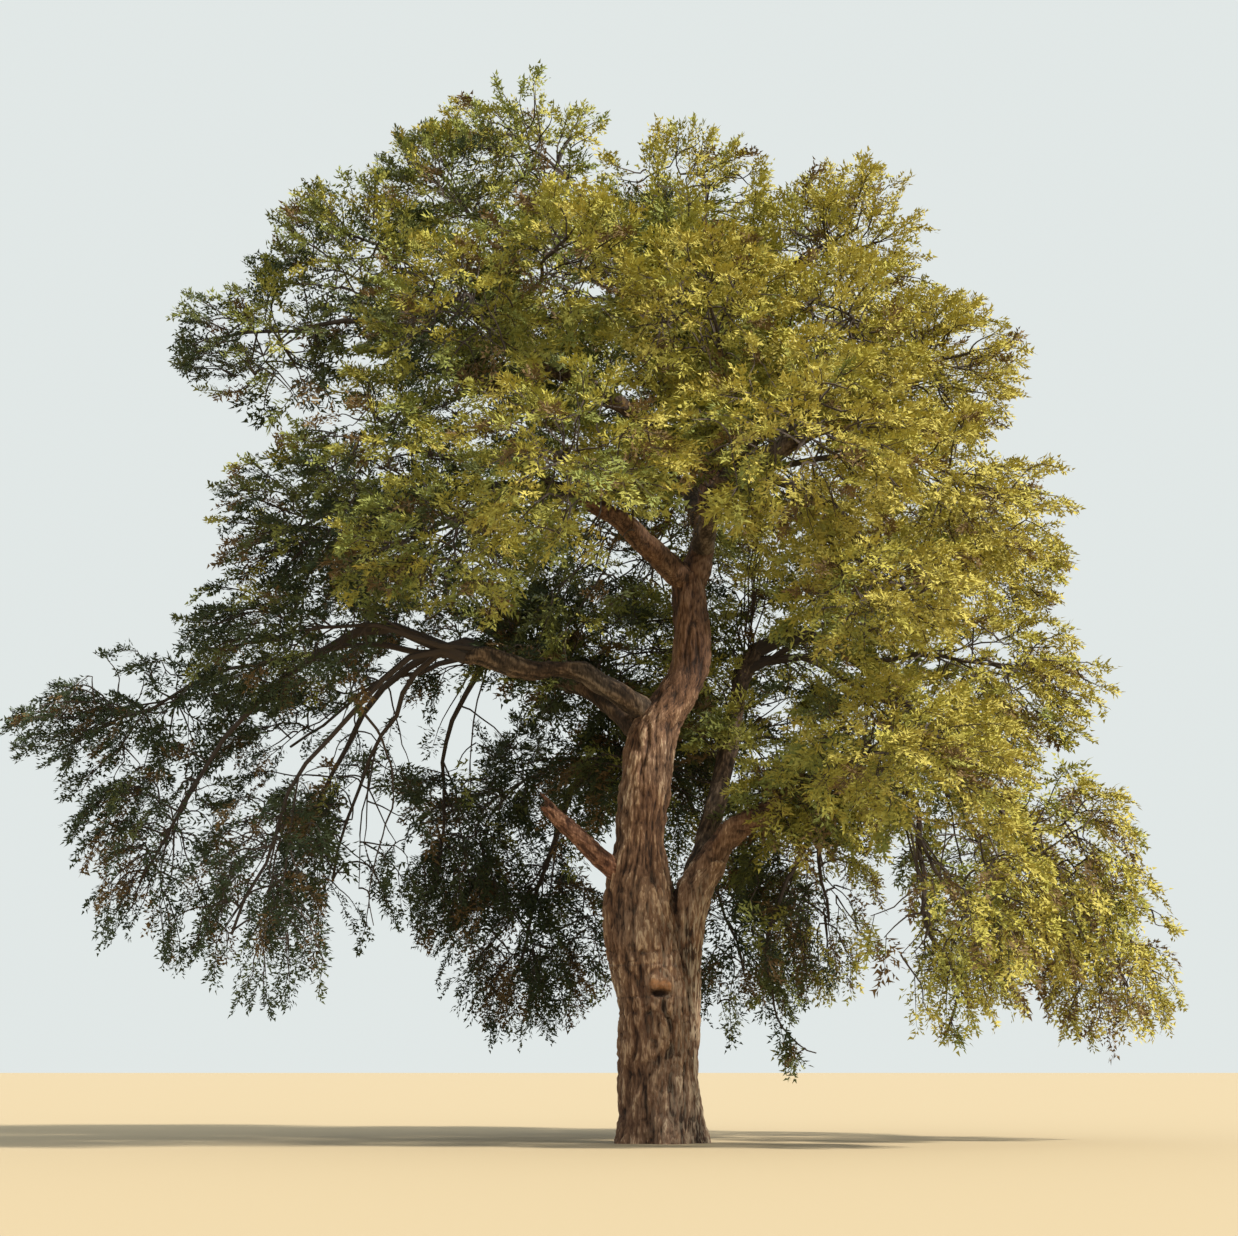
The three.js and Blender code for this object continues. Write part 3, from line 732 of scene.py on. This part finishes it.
PINNAE = [  # where they leave a leaf's rib, and how far they turn from it
    (0.2, 0.95), (0.25, -0.95), (0.46, 0.85), (0.51, -0.85), (0.73, 0.75), (0.78, -0.75), (0.95, 0.0),
]
PINNA_LENGTH = 0.051
PINNA_WIDTH = 0.034
PINNA_JITTER = 0.012
PINNA_LIFT = 0.3  # of the side pinnae's tips, as a share of the length


def lean_at(shares):
    """How far what grows on a spray or shoot leans out, less towards the end."""
    return (1.15 - 0.6 * shares)[:, None]


def shoots_on(spray, rng):
    """Shoots spiral round a spray, the last carrying it on: bases, ways, lengths, leaf sizes and shares."""
    space = spray.space
    count = max(2, round(spray.room / SHOOT_STEP))
    shares = (np.arange(count) + 0.5) / count
    bases = spray.along(shares)
    ahead = unit(spray.way - UP * 2 * spray.droop * shares[:, None])
    side = unit(np.cross(spray.way, UP) + 1e-6)
    angles = GOLDEN * np.arange(count) + rng.random() * 2 * pi
    away = round_about(side, np.cross(spray.way, side), angles)
    lean = SHOOT_LEAN * lean_at(shares) * rng.uniform(0.8, 1.2, (count, 1))
    lean[-1] *= LAST_LEAN
    ways = unit(ahead * np.cos(lean) + away * np.sin(lean) + space.flow * SHOOT_FLOW)
    lengths = rng.uniform(*SHOOT_LENGTH, count) * np.clip(spray.room / SHORT_SPRAY, 0.4, 1)
    if spray.filler:
        inner = np.full(count, False)
        keep = np.full(count, True)
        sizes = np.full(count, FILLER_SIZE)
    else:
        depth = space.depth(bases + ways * lengths[:, None])
        lengths *= np.clip(1 - 2.5 * (depth - SHORTER_FROM), 0.45, 1)
        outward = unit(space.centre - CROWN_MIDDLE)
        inner = (bases - space.centre) @ outward / space.half.mean() < INNER_FROM
        keep = space.depth(bases + ways * lengths[:, None]) < SHOOT_REACH
        sizes = np.where(inner, INNER_SIZE, 1.0)
    middles = bases + ways * lengths[:, None] / 2
    chance = np.where(inner, INNER_SHARE, 1) * opening_share(middles)
    chance *= np.where(noise(middles / CLUMP_SIZE, 71) < HOLLOW_BELOW, HOLLOW_SHARE, 1)
    keep &= rng.random(count) < chance
    keep &= limb_distance(middles) > LIMB_CLEAR
    return [values[keep] for values in (bases, ways, lengths, sizes, shares)]


def along_shoots(bases, ways, lengths, droop, shares):
    """Points at shares of shoots, which sink towards their ends: (shoots, shares, 3)."""
    fall = droop * shares**2
    return bases[:, None] + lengths[:, None, None] * (ways[:, None] * shares[:, None] - UP * fall[:, None])


def leaf_faces(bases, ways, lengths, sizes, droop, rng):
    """Compound leaves along shoots, each a rib's two rows of pinnae: points (pinnae, 3, 3)."""
    each = (len(bases), LEAVES_A_SHOOT)
    shares = (np.arange(LEAVES_A_SHOOT) + 0.8) / LEAVES_A_SHOOT
    roots = along_shoots(bases, ways, lengths, droop, shares)
    ahead = unit(ways[:, None] - UP * (2 * droop * shares)[:, None])
    side = unit(np.cross(ahead, UP) + 1e-6)
    angles = np.arange(LEAVES_A_SHOOT) * pi + rng.uniform(-LEAF_TWIST, LEAF_TWIST, each)
    away = round_about(side, np.cross(side, ahead), angles)
    lean = rng.uniform(*LEAF_LEAN, (*each, 1)) * lean_at(shares)
    way = unit(ahead * np.cos(lean) + away * np.sin(lean))
    rachis = rng.uniform(*RACHIS, (*each, 1)) * (1.1 - 0.4 * shares)[:, None]
    tilt = rng.normal(0, RACHIS_TILT, (*each, 3))
    sizes = sizes[:, None, None]
    rachis = rachis * sizes
    across = unit(np.cross(way, UP + tilt))
    pinnae = []
    for at, turn in PINNAE:
        root = roots + way * rachis * at + rng.normal(0, PINNA_JITTER, (*each, 3))
        turns = turn + rng.normal(0, 0.4, (*each, 1))
        size = sizes * rng.uniform(0.75, 1.25, (*each, 1))
        tip = root + (way * np.cos(turns) + across * np.sin(turns)) * PINNA_LENGTH * size
        foot = (way if turn else across) * PINNA_WIDTH * 0.5 * np.sqrt(sizes)
        raised = np.cross(across, way) * PINNA_LENGTH * PINNA_LIFT * (turn != 0)
        pinnae.append(np.stack([root - foot, root + foot, tip + raised], axis=-2))
    return np.stack(pinnae, axis=2).reshape(-1, 3, 3)


# Leaf colours, dealt with painted light and shade
# tones from dark and bluish through green and olive to yellow and straw, and brown; tones_of deals them
# partly by painted light and shade, partly at random
LEAF_TONES = {
    "leaf_blue": (0.05, 0.066, 0.032),
    "leaf_dark": (0.1, 0.115, 0.04),
    "leaf_green": (0.21, 0.232, 0.062),
    "leaf_olive": (0.31, 0.303, 0.072),
    "leaf_yellow": (0.37, 0.338, 0.07),
    "leaf_straw": (0.42, 0.365, 0.085),
    "leaf_brown": (0.15, 0.1, 0.045),
}
TONE_STEPS = (-0.05, 0.22, 0.52, 0.84, 1.25)  # between all but the brown
TONE_MIDDLE = 0.47  # 5 m up the trunk, and the painted light that a metre to the right, back and up adds: lighter to the right and up, towards the sun, darker to the back
PAINTED_LIGHT_GAIN = np.array([0.2, -0.12, 0.09])
PAINTED_LIGHT_OUT = 0.7  # painted light: what a share further out of the mass's middle adds, as the outer leaves are sunlit
TONE_PATCHES = (1.2, 0.35)  # how many to a metre and how strong
TONE_VARIES = (0.1, 0.32)  # by spray and by shoot
# painted shade: how much darker the tones of the larger inner and filler leaves are
INNER_PAINTED_SHADE = 0.3
BROWN_SHARE = {"skirt": 0.2, "shoulder": 0.1, "middle": 0.08, "upper": 0.08, "top": 0.06}


def tones_of(tips, sizes, space, rng):
    """Deals the colours out by shoot, with painted light: yellower high up, to the right, in front and
    outside, towards the sun, and painted shade on the mass's inner side; the rest varies at random.
    """
    depth = np.minimum(space.depth(tips), 1)
    # painted light: lighter high up, to the right, in front and further out of the mass
    lit = TONE_MIDDLE + (tips - 5 * UP) @ PAINTED_LIGHT_GAIN + PAINTED_LIGHT_OUT * (depth - 0.8)
    many, strength = TONE_PATCHES
    pick = lit + strength * noise(tips * many, 73)
    pick = pick + rng.normal(0, TONE_VARIES[0]) + rng.normal(0, TONE_VARIES[1], len(tips))
    tones = np.searchsorted(TONE_STEPS, pick - INNER_PAINTED_SHADE * (sizes > 1))
    return np.where(rng.random(len(tips)) < BROWN_SHARE[space.tier], len(TONE_STEPS) + 1, tones)


# Materials
FIBRES = (52, 7, 0.24)  # scale, detail and how much they are drawn out upward
BLOTCHES = (1.9, 4, 0.45)
# the grain of the painted sunlight streaks on the lower trunk
PAINTED_SUN_STREAKS = (36, 5, 0.16)


class Look:
    """A material built up from nodes. A value is a number, a colour or another node's output."""

    def __init__(self, name, roughness, colour=(0.8, 0.8, 0.8)):
        self.material = bpy.data.materials.new(name)
        self.material.use_nodes = True
        self.shader = self.material.node_tree.nodes["Principled BSDF"].inputs
        self.feed(self.shader["Roughness"], roughness)
        self.feed(self.shader["Base Color"], colour)

    def feed(self, socket, value):
        if isinstance(value, bpy.types.NodeSocket):
            self.material.node_tree.links.new(value, socket)
        else:
            socket.default_value = (*value, 1) if socket.type == "RGBA" else value

    def node(self, kind, values, **settings):
        made = self.material.node_tree.nodes.new(kind)
        for key, setting in settings.items():
            setattr(made, key, setting)
        for key, value in values.items():
            self.feed(made.inputs[key], value)
        return made

    def attribute(self, name):
        return self.node("ShaderNodeAttribute", {}, attribute_name=name).outputs["Fac"]

    def maths(self, how, *terms):
        return self.node("ShaderNodeMath", dict(enumerate(terms)), operation=how).outputs["Value"]

    def mixed(self, how, share, below, above):
        values = {"Factor": share, "A": below, "B": above}
        return self.node("ShaderNodeMix", values, data_type="RGBA", blend_type=how).outputs["Result"]

    def ramp(self, factor, stops):
        made = self.node("ShaderNodeValToRGB", {"Fac": factor})
        marks = made.color_ramp.elements
        while len(marks) < len(stops):
            marks.new(0.5)
        for mark, (at, colour) in zip(marks, stops):
            mark.position = at
            mark.color = (*colour, 1)
        return made.outputs["Color"]

    def grain(self, scale, detail, stretch):
        where = self.node("ShaderNodeTexCoord", {}).outputs["Object"]
        long = self.node("ShaderNodeMapping", {"Vector": where, "Scale": (1, 1, stretch)}).outputs["Vector"]
        values = {"Vector": long, "Scale": scale, "Detail": detail}
        return self.node("ShaderNodeTexNoise", values).outputs["Fac"]


def bark_look(name, stops, patches, spots=(), painted_sun_colour=None):
    """Bark: colours from furrow to ridge, blotches, fine fibres that run upward, and, if given, pale
    streaks of painted sunlight and spots.
    """
    look = Look(name, 0.9)
    fibres = look.grain(*FIBRES)
    height = look.maths("ADD", look.maths("MULTIPLY_ADD", fibres, 1.5, -0.78), look.attribute("relief"))
    blotches = look.ramp(look.grain(*BLOTCHES), patches)
    colour = look.mixed("MULTIPLY", 0.85, look.ramp(height, stops), blotches)
    # painted sunlight: pale streaks where the pale attribute is set, on the sunlit right side of the lower
    # trunk
    if painted_sun_colour:
        long = look.ramp(look.grain(*PAINTED_SUN_STREAKS), [(0.46, (0, 0, 0)), (0.6, (0.85, 0.85, 0.85))])
        colour = look.mixed("MIX", look.maths("MULTIPLY", long, look.attribute("pale")), colour, painted_sun_colour)
    for key, spot_colour in spots:
        colour = look.mixed("MIX", look.attribute(key), colour, spot_colour)
    look.feed(look.shader["Base Color"], colour)
    bump = look.node("ShaderNodeBump", {"Strength": 0.7, "Distance": 0.02, "Height": fibres})
    look.feed(look.shader["Normal"], bump.outputs["Normal"])
    return look.material


def leaf_look(name, colour):
    look = Look(name, 0.6, colour)
    look.feed(look.shader["Specular IOR Level"], 0.12)
    return look.material


BARK_PATCHES = [(0.34, (0.5, 0.37, 0.29)), (0.48, (0.86, 0.74, 0.63)), (0.62, (1, 1, 1))]
trunk_bark = bark_look(
    "trunk_bark",
    [
        (0.05, (0.03, 0.016, 0.01)), (0.4, (0.13, 0.072, 0.044)),
        (0.8, (0.25, 0.155, 0.1)), (1.0, (0.5, 0.38, 0.27)),
    ],
    BARK_PATCHES,
    # heal colours the knot's orange-brown callus wood; pit paints the sunk hollow under it near black as
    # painted shade
    (("heal", (0.36, 0.165, 0.065)), ("pit", (0.03, 0.014, 0.008))),
    # the colour of the painted sunlight streaks
    (0.5, 0.4, 0.29),
)
# the boughs' bark: a darker copy of the trunk's, partly its own colour and partly painted shade of the
# crown
bough_bark = bark_look(
    "bough_bark",
    [(0.1, (0.02, 0.014, 0.01)), (0.6, (0.082, 0.058, 0.041)), (1.0, (0.22, 0.165, 0.12))],
    BARK_PATCHES,
)
bare_wood = bark_look(
    "bare_wood",
    [(0.2, (0.06, 0.026, 0.016)), (0.7, (0.22, 0.11, 0.07)), (1.0, (0.4, 0.24, 0.165))],
    [(0.35, (0.7, 0.5, 0.4)), (0.6, (1, 0.95, 0.9))],
)
# twig bark: dark brown, made darker still as painted shade of the crown
twig_bark = Look("twig_bark", 0.9, (0.052, 0.038, 0.031)).material
leaf_looks = [leaf_look(name, colour) for name, colour in LEAF_TONES.items()]

# Bark relief
FURROWS = ((9, 0, 0.17, 0.42), (23, 7.3, 0.24, 0.38))  # broad and narrow: how many, shift, width and depth
DRAWN_OUT = np.array([1, 1, 0.2])
DRIFT = np.array([2.2, 2.2, 1.9])  # how often the furrows swing sideways, and how far
DRIFT_DEPTH = 0.085
CRACKS = np.array([8, 8, 11])
PLATES = np.array([9, 9, 4])


def bark_relief(points, size, seed):
    """How far the bark stands out, from 0 in a furrow to 1 on a ridge. Furrows run along the third axis."""
    drift = [noise(points * DRIFT / size, seed + k)[..., None] for k in (3, 4)]
    sideways = drift[0] * np.array([1, 0, 0]) + drift[1] * np.array([0, 1, 0])
    grain = (points + sideways * DRIFT_DEPTH * size) * DRAWN_OUT / size
    relief = 0.9
    for step, (many, shift, width, depth) in enumerate(FURROWS):
        relief = relief - depth * bell(noise(grain * many + shift, seed + step) / width)
    cracks = bell(noise(points * CRACKS / size + 1.7, seed + 6) / 0.13)
    plates = noise(points * PLATES / size + 5.2, seed + 7)
    fibres = noise(grain * 42 + 3.1, seed + 2)
    return np.clip(relief - 0.26 * cracks + 0.24 * plates + 0.28 * fibres, 0, 1)


def unrolled(angles, radius, run):
    """Points on a straight limb of one radius, for bark that runs along it."""
    return stacked(np.cos(angles) * radius, np.sin(angles) * radius, run[:, None])


# Trunk
STEM_SKINS = {"main_stem": (190, 11, 0.45), "second_stem": (96, 31, 1.0)}  # columns, seed, and how strong the painted sunlight on the lower trunk is
PAINTED_SUN_BELOW = 2.9  # painted sunlight: pale streaks on the lower trunk, up to this height
ROW_STEP = 0.042
KNOT_ROWS = np.arange(1.0, 2.05, 0.016)  # closer rows round the knot
TOP_TAPER = (0.14, 0.3)  # by how much and over what height under a stem's top
DOME = (0.05 * np.array([0.35, 0.65, 0.9, 1.0]), [0.94, 0.76, 0.43, 0.01])  # heights and radii
FLUTES_UP_TO = 0.9
FLUTE_DEPTH = 0.03
FURROW_DEPTH = 0.06
SEAM_WIDTH = 0.045  # of the crease where the two stems grow together
SEAM_DEPTH = 0.03
SEAM_TOP = 3.0
KNOT_HEIGHT = 1.64
KNOT_ANGLE = radians(-77)
KNOT_SIZE = 0.15
LUMP = (0.115, 0.055, 0.05)  # the knot's half-sizes and height
HOLLOW = (-0.03, -0.085, 0.085, 0.038, 0.1)  # under its middle: place, half-sizes and depth
SCAR_FROM_TO = (1.12, 1.52)
SCAR = (0.022, 0.045)  # width and depth
LIPS = (0.06, 0.028, 0.03)  # on both sides of it: how far off, width and height


def stem_skin(name):
    """A stem in level rings, with root flare, furrows and a domed top."""
    columns, seed, _ = STEM_SKINS[name]
    line = curves[name].at(np.linspace(0, 1, 400))
    top = STEMS[name][-1][0]
    heights = np.arange(0, 6.1, ROW_STEP)
    if name == "main_stem":
        heights = np.union1d(heights, KNOT_ROWS)
    heights = np.concatenate([heights[heights < top], [top], top + DOME[0]])
    axis = stacked(np.interp(heights, line[:, 2], line[:, 0]), 0, heights)
    radius = on_stem(name, heights)[1]
    radius *= 1 - TOP_TAPER[0] * np.clip((heights - top + TOP_TAPER[1]) / TOP_TAPER[1], 0, 1)
    radius[-4:] *= DOME[1]
    angles = full_turn(columns)
    across = stacked(np.cos(angles), np.sin(angles), 0)
    swell = np.clip(1 - heights / FLARE_HEIGHT, 0, 1) ** 2 * FLARE_DEPTH
    reach = radius[:, None] * (1 + swell[:, None] * np.cos(FLARE_LOBES * angles + FLARE_TURN))
    where = axis[:, None] + across * reach[..., None]
    reach = reach * (1 + 0.045 * noise(where * np.array([2.2, 2.2, 1.3]), seed + 9))
    relief = bark_relief(where, 1.0, seed)
    flutes = np.clip(1 - heights / FLUTES_UP_TO, 0, 1)[:, None]
    flutes = flutes * noise(across * 2.6 + axis[:, None] * 0.4, seed + 5)
    out = (relief - 0.7) * np.minimum(FURROW_DEPTH, reach * 0.18) + flutes * FLUTE_DEPTH
    return axis, angles, across, reach, relief, out


def seam_share(other, heights, where):
    """1 in the crease between a stem and the other one, 0 off it."""
    beside, radius = on_stem(other, heights)
    gap = np.hypot(where[..., 0] - beside[:, None], where[..., 1]) - radius[:, None]
    seam = bell(gap / SEAM_WIDTH) * np.clip((SEAM_TOP - heights) / 0.3, 0, 1)[:, None]
    return seam * np.clip(0.75 + 0.5 * noise(where * np.array([6, 6, 3]), 47), 0, 1)


def knot_and_scar(angles, heights, relief, out):
    """Adds the knot, with rings round it, and the scar: relief, out, and shares of pit and heal."""
    aside = ((angles - KNOT_ANGLE + pi) % (2 * pi) - pi)[None] * 0.4
    rise = (heights - KNOT_HEIGHT)[:, None]
    rough = 1 + 0.3 * noise(stacked(aside * 15, rise * 15, 4.5), 41)
    apart = np.hypot(aside, rise * 0.8) / KNOT_SIZE * rough
    near = np.clip((1.9 - apart) / 1.2, 0, 1) * 0.75
    rings = 0.5 + 0.5 * np.cos(apart * 13)
    lump = np.hypot(aside / LUMP[0], rise / LUMP[1]) * rough
    # painted shade: the hollow under the knot is sunk and also painted near black through pit
    pit = np.hypot((aside - HOLLOW[0]) / HOLLOW[2], (rise - HOLLOW[1]) / HOLLOW[3]) * rough
    pit = np.clip((1.1 - pit) / 0.4, 0, 1)
    flecks = noise(stacked(aside * 60, rise * 90, 8.5), 45)
    heal = np.clip((1.15 - lump) / 0.4, 0, 1) * np.clip(0.62 + 0.5 * flecks + 2.5 * rise, 0, 1)
    relief = relief * (1 - near) + near * (0.3 + 0.6 * rings)
    out = out * (1 - near) + near * 0.022 * rings + LUMP[2] * bell(lump) - HOLLOW[4] * pit

    foot, head = SCAR_FROM_TO
    run = (rise + KNOT_HEIGHT - foot) / (head - foot)
    scar_aside = aside - 0.06 * (1 - run) - 0.02 * np.sin(run * 7)
    along = np.clip(run * 4, 0, 1) * np.clip((1 - run) * 6, 0, 1)
    scar = bell(scar_aside / SCAR[0]) * along
    lips = bell((np.abs(scar_aside) - LIPS[0]) / LIPS[1]) * along
    out = out + lips * LIPS[2] - scar * SCAR[1]
    return np.clip(relief + 0.3 * lips - scar, 0, 1), out, pit, heal


trunk = Skin()
for name, other in (("main_stem", "second_stem"), ("second_stem", "main_stem")):
    axis, angles, across, reach, relief, out = stem_skin(name)
    heights = axis[:, 2]
    pit = np.zeros_like(reach)
    heal = np.zeros_like(reach)
    seam = seam_share(other, heights, axis[:, None] + across * reach[..., None])
    # painted shade: the crease between the stems is darkened in colour as well as sunk
    relief = relief * (1 - 0.85 * seam)
    out = out - SEAM_DEPTH * seam
    if name == "main_stem":
        relief, out, pit, heal = knot_and_scar(angles, heights, relief, out)
    # painted sunlight: pale streaks low on the trunk, strongest on its right side, which faces the sun
    low = np.clip((PAINTED_SUN_BELOW - heights) / 0.5, 0, 1)[:, None]
    pale = low * np.clip(0.45 + 0.8 * np.cos(angles), 0, 1)[None] * STEM_SKINS[name][2]
    # painted shade: the trunk's colour darkens above 4 m, where the crown shades it
    relief = relief * (1 - 0.3 * np.clip((heights - 4) / 1.5, 0, 1))[:, None]
    skin = axis[:, None] + across * (reach + out)[..., None]
    trunk.add(skin[None], relief=relief, pit=pit, heal=heal, pale=pale)

# Boughs
CARRY_ON = ("second_leader", "upper_left_bough", "centre_leader")  # these carry the stems on
COLLAR = 0.3  # the swelling at a bough's foot, apart from these
OTHER_COLLARS = {"left_bough": 0.05, **dict.fromkeys(CARRY_ON, 0.1)}
COLLAR_LENGTH = 0.2
ROUND_END = 0.16
BOUGH_SIDES = 30
BOUGH_RINGS = 18  # to a metre
BOUGH_FURROW = 0.022


def bough_skin(name):
    """A bough, with a buried foot, a collar, bark that runs along it and a round end."""
    curve = curves[name]
    base, tip = limb_radii[name]
    shares = np.linspace(0, 1, 16 + int(curve.length * BOUGH_RINGS))
    axis = curve.at(shares)
    run = shares * curve.length
    buried = parent_radii[name]
    reach = base + (tip - base) * shares
    reach = reach * (0.94 + OTHER_COLLARS.get(name, COLLAR) * bell((run - buried) / COLLAR_LENGTH))
    slim = 0.5 if BOUGHS[name][1] < 0.9 else 0.9
    reach = reach * (slim + (1 - slim) * np.clip(run / buried, 0, 1))
    left = (1 - shares) * curve.length
    reach = reach * np.sqrt(np.clip(left / ROUND_END, 0.0001, 1))
    ahead = unit(np.gradient(axis, axis=0))
    side = unit(np.cross(ahead, UP + np.array([0.01, 0.02, 0])))
    angles = full_turn(BOUGH_SIDES)
    across = round_about(side[:, None], np.cross(ahead, side)[:, None], angles)
    relief = bark_relief(unrolled(angles, base, run) + len(name), 0.5, 51)
    lumps = noise(axis[:, None] * 3.1 + across * 0.3, 21) * 0.1
    reach = reach[:, None] * (1 + lumps) + (relief - 0.8) * np.minimum(BOUGH_FURROW, reach * 0.15)[:, None]
    return crooked(axis[:, None] + across * reach[..., None]), relief


bark_skin = Skin()
for name in BOUGHS:
    skin, relief = bough_skin(name)
    if name in CARRY_ON:
        none = np.zeros_like(relief)
        # painted shade: the leaders' bark is dealt darker than the trunk's, as they stand in the crown's
        # shade
        trunk.add(skin[None], relief=relief * 0.8, pit=none, heal=none, pale=none)
    else:
        bark_skin.add(skin[None], relief=relief)

# The broken stub, with two prongs round a hollow
STUB_SIDES = 40
STUB_RINGS = 40
STUB_FURROW = 0.02
PRONGS = ((radians(70), 0.2, 0.6), (radians(235), 0.11, 0.5))  # place round, length and width
SPLIT_FROM = 0.75
SPLIT_RINGS = ((0.72, 0.55, 0.6), (0.4, 0.2, 0.3), (0.02, 0.1, 0.2))  # radius, reach, and the share of relief left: painted shade, darker deeper in the hollow


def stub_skin():
    """The stub with the inside of its split end."""
    stub = curves["stub"]
    base, tip = limb_radii["stub"]
    shares = np.linspace(0, 1, STUB_RINGS)
    axis = stub.at(shares)
    ahead = unit(axis[-1] - axis[0])
    side = unit(np.cross(ahead, UP))
    angles = full_turn(STUB_SIDES)
    across = round_about(side, np.cross(side, ahead), angles)
    reach = base + (tip - base) * shares**1.3
    relief = bark_relief(unrolled(angles, 0.1, shares * stub.length) + 5, 0.45, 61)
    bend = noise(axis * 2.7, 63)[:, None, None] * 0.03 * UP
    skin = axis[:, None] + bend + across * (reach[:, None] + (relief - 0.8) * STUB_FURROW)[..., None]
    jag = -0.12 + noise(stacked(np.cos(angles), np.sin(angles), 0) * 3, 62) * 0.05
    for turn, length, width in PRONGS:
        away = (angles - turn + pi) % (2 * pi) - pi
        jag = jag + length * bell(away / width)
    pull = np.clip((shares - SPLIT_FROM) / (1 - SPLIT_FROM), 0, 1)[:, None] ** 1.5 * jag
    skin = skin + ahead * pull[..., None]
    inside = [
        axis[-1] + bend[-1] + across * (reach[-1] * share) + ahead * (jag * far - 0.1)[:, None]
        for share, far, _ in SPLIT_RINGS
    ]
    # painted shade: the inside of the split end gets darker deeper in
    inside_relief = [relief[-1] * painted_shade_share for _, _, painted_shade_share in SPLIT_RINGS]
    return np.concatenate([skin, np.array(inside)]), np.concatenate([relief, np.array(inside_relief)])


stub = Skin()
skin, relief = stub_skin()
stub.add(skin[None], relief=relief)

for name, skin, look, slot, nodes in (
    ("trunk_skin", trunk, trunk_bark, "bark", ["trunk", *CARRY_ON]),
    ("bough_skins", bark_skin, bough_bark, "bark", [name for name in BOUGHS if name not in CARRY_ON]),
    ("stub_skin", stub, bare_wood, "bare_wood", ["broken_stub"]),
):
    fit(skin.make(name, look, smooth=True), slot, nodes)

# Foliage
STEM_BASE = 0.045
STEM_END = 0.016
STEM_TAPER = 1.8
TWIG_BASE = 0.014
TWIG_END = 0.005


def grow_wood(space, twigs):
    """The mass's stem, which carries its bough on if it is the first, and its hanging limbs."""
    shares = np.linspace(0, 1, 12)
    base = limb_radii[space.bough][1] * 0.95 if space.order == 0 else STEM_BASE
    radii = STEM_END + (base - STEM_END) * (1 - shares) ** STEM_TAPER
    twigs.crooked_tube(space.stem.at(shares), radii, 7)
    for line, radii in hanging_lines(space):
        twigs.crooked_tube(line.at(np.linspace(0, 1, 24)), np.linspace(*radii, 24), 6)


def grow_mass(space, twigs, blades, tones):
    """Adds one mass: its wood to twigs, its pinnae to blades and their colours to tones."""
    rng = np.random.default_rng(space.seed)
    coarse = coarse_sprays(space)
    sprays = [*coarse, *fine_sprays(space, coarse, rng)]
    grow_wood(space, twigs)
    for more in (filler_sprays, patch_sprays, hanging_sprays):
        sprays += more(space, rng)
    for spray in sprays:
        bases, ways, lengths, sizes, shares = shoots_on(spray, rng)
        if not len(bases):
            continue
        spray.used = max(spray.used, shares.max() + PAST_LAST_SHOOT)
        holder, share = spray.held
        if holder:
            holder.used = max(holder.used, share)
        moved = crooked(bases)
        axes = along_shoots(moved, ways, lengths, spray.droop, np.array([0, 0.95]))
        twigs.tubes(axes, np.broadcast_to(SHOOT_RADII, axes.shape[:2]), 3)
        made = leaf_faces(moved, ways, lengths, sizes, spray.droop, rng)
        blades.append(made)
        shoot_tones = tones_of(bases + ways * lengths[:, None], sizes, space, rng)
        tones.append(np.repeat(shoot_tones, len(made) // len(bases)))
    for spray in sprays:
        if spray.used:
            spray.grow_axis(twigs)


for tier in TIERS:
    twigs = Skin()
    blades, tones = [], []
    members = [space for space in spaces if space.tier == tier]
    for space in members:
        grow_mass(space, twigs, blades, tones)
    nodes = [space.node for space in members]
    points = np.vstack(blades).reshape(-1, 3)
    faces = np.arange(len(points)).reshape(-1, 3)
    fit(make_object(f"{tier}_leaves", points, faces, leaf_looks, np.concatenate(tones)), "foliage", nodes)
    fit(twigs.make(f"{tier}_twigs", twig_bark), "bark", nodes)

# Stage, light and camera
FLOOR_HALF = 400.0
floor_mesh = bpy.data.meshes.new("floor")
floor_corners = [(x * FLOOR_HALF, y * FLOOR_HALF, 0) for x, y in ((-1, -1), (1, -1), (1, 1), (-1, 1))]
floor_mesh.from_pydata(floor_corners, [], [(0, 1, 2, 3)])
floor_mesh.materials.append(Look("floor", 0.9, (0.41, 0.325, 0.2)).material)
floor = link_object("floor", floor_mesh)
floor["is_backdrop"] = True

world = bpy.data.worlds.new("pale")
bpy.context.scene.world = world
world.use_nodes = True
background = world.node_tree.nodes["Background"].inputs
background["Color"].default_value = (0.92, 0.98, 0.97, 1)
background["Strength"].default_value = 0.82

sun_data = bpy.data.lights.new("sun", "SUN")
sun_data.energy = 6.4
sun_data.angle = radians(5)
sun_data.color = (1.0, 0.94, 0.82)
sun = link_object("sun", sun_data)
sun.rotation_euler = (radians(46), 0, radians(58))

camera_data = bpy.data.cameras.new("camera")
camera_data.lens = 75.6
camera_data.sensor_width = 36
camera_data.clip_end = 1000
camera = link_object("camera", camera_data)
camera.location = EYE
camera.rotation_euler = (radians(90 + 9.82), 0, 0)
bpy.context.scene.camera = camera
bpy.context.scene.view_settings.view_transform = "Standard"

boxes = {"cad": cad_box, "visual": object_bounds()}
{key: [list(corner) for corner in box] for key, box in boxes.items()}
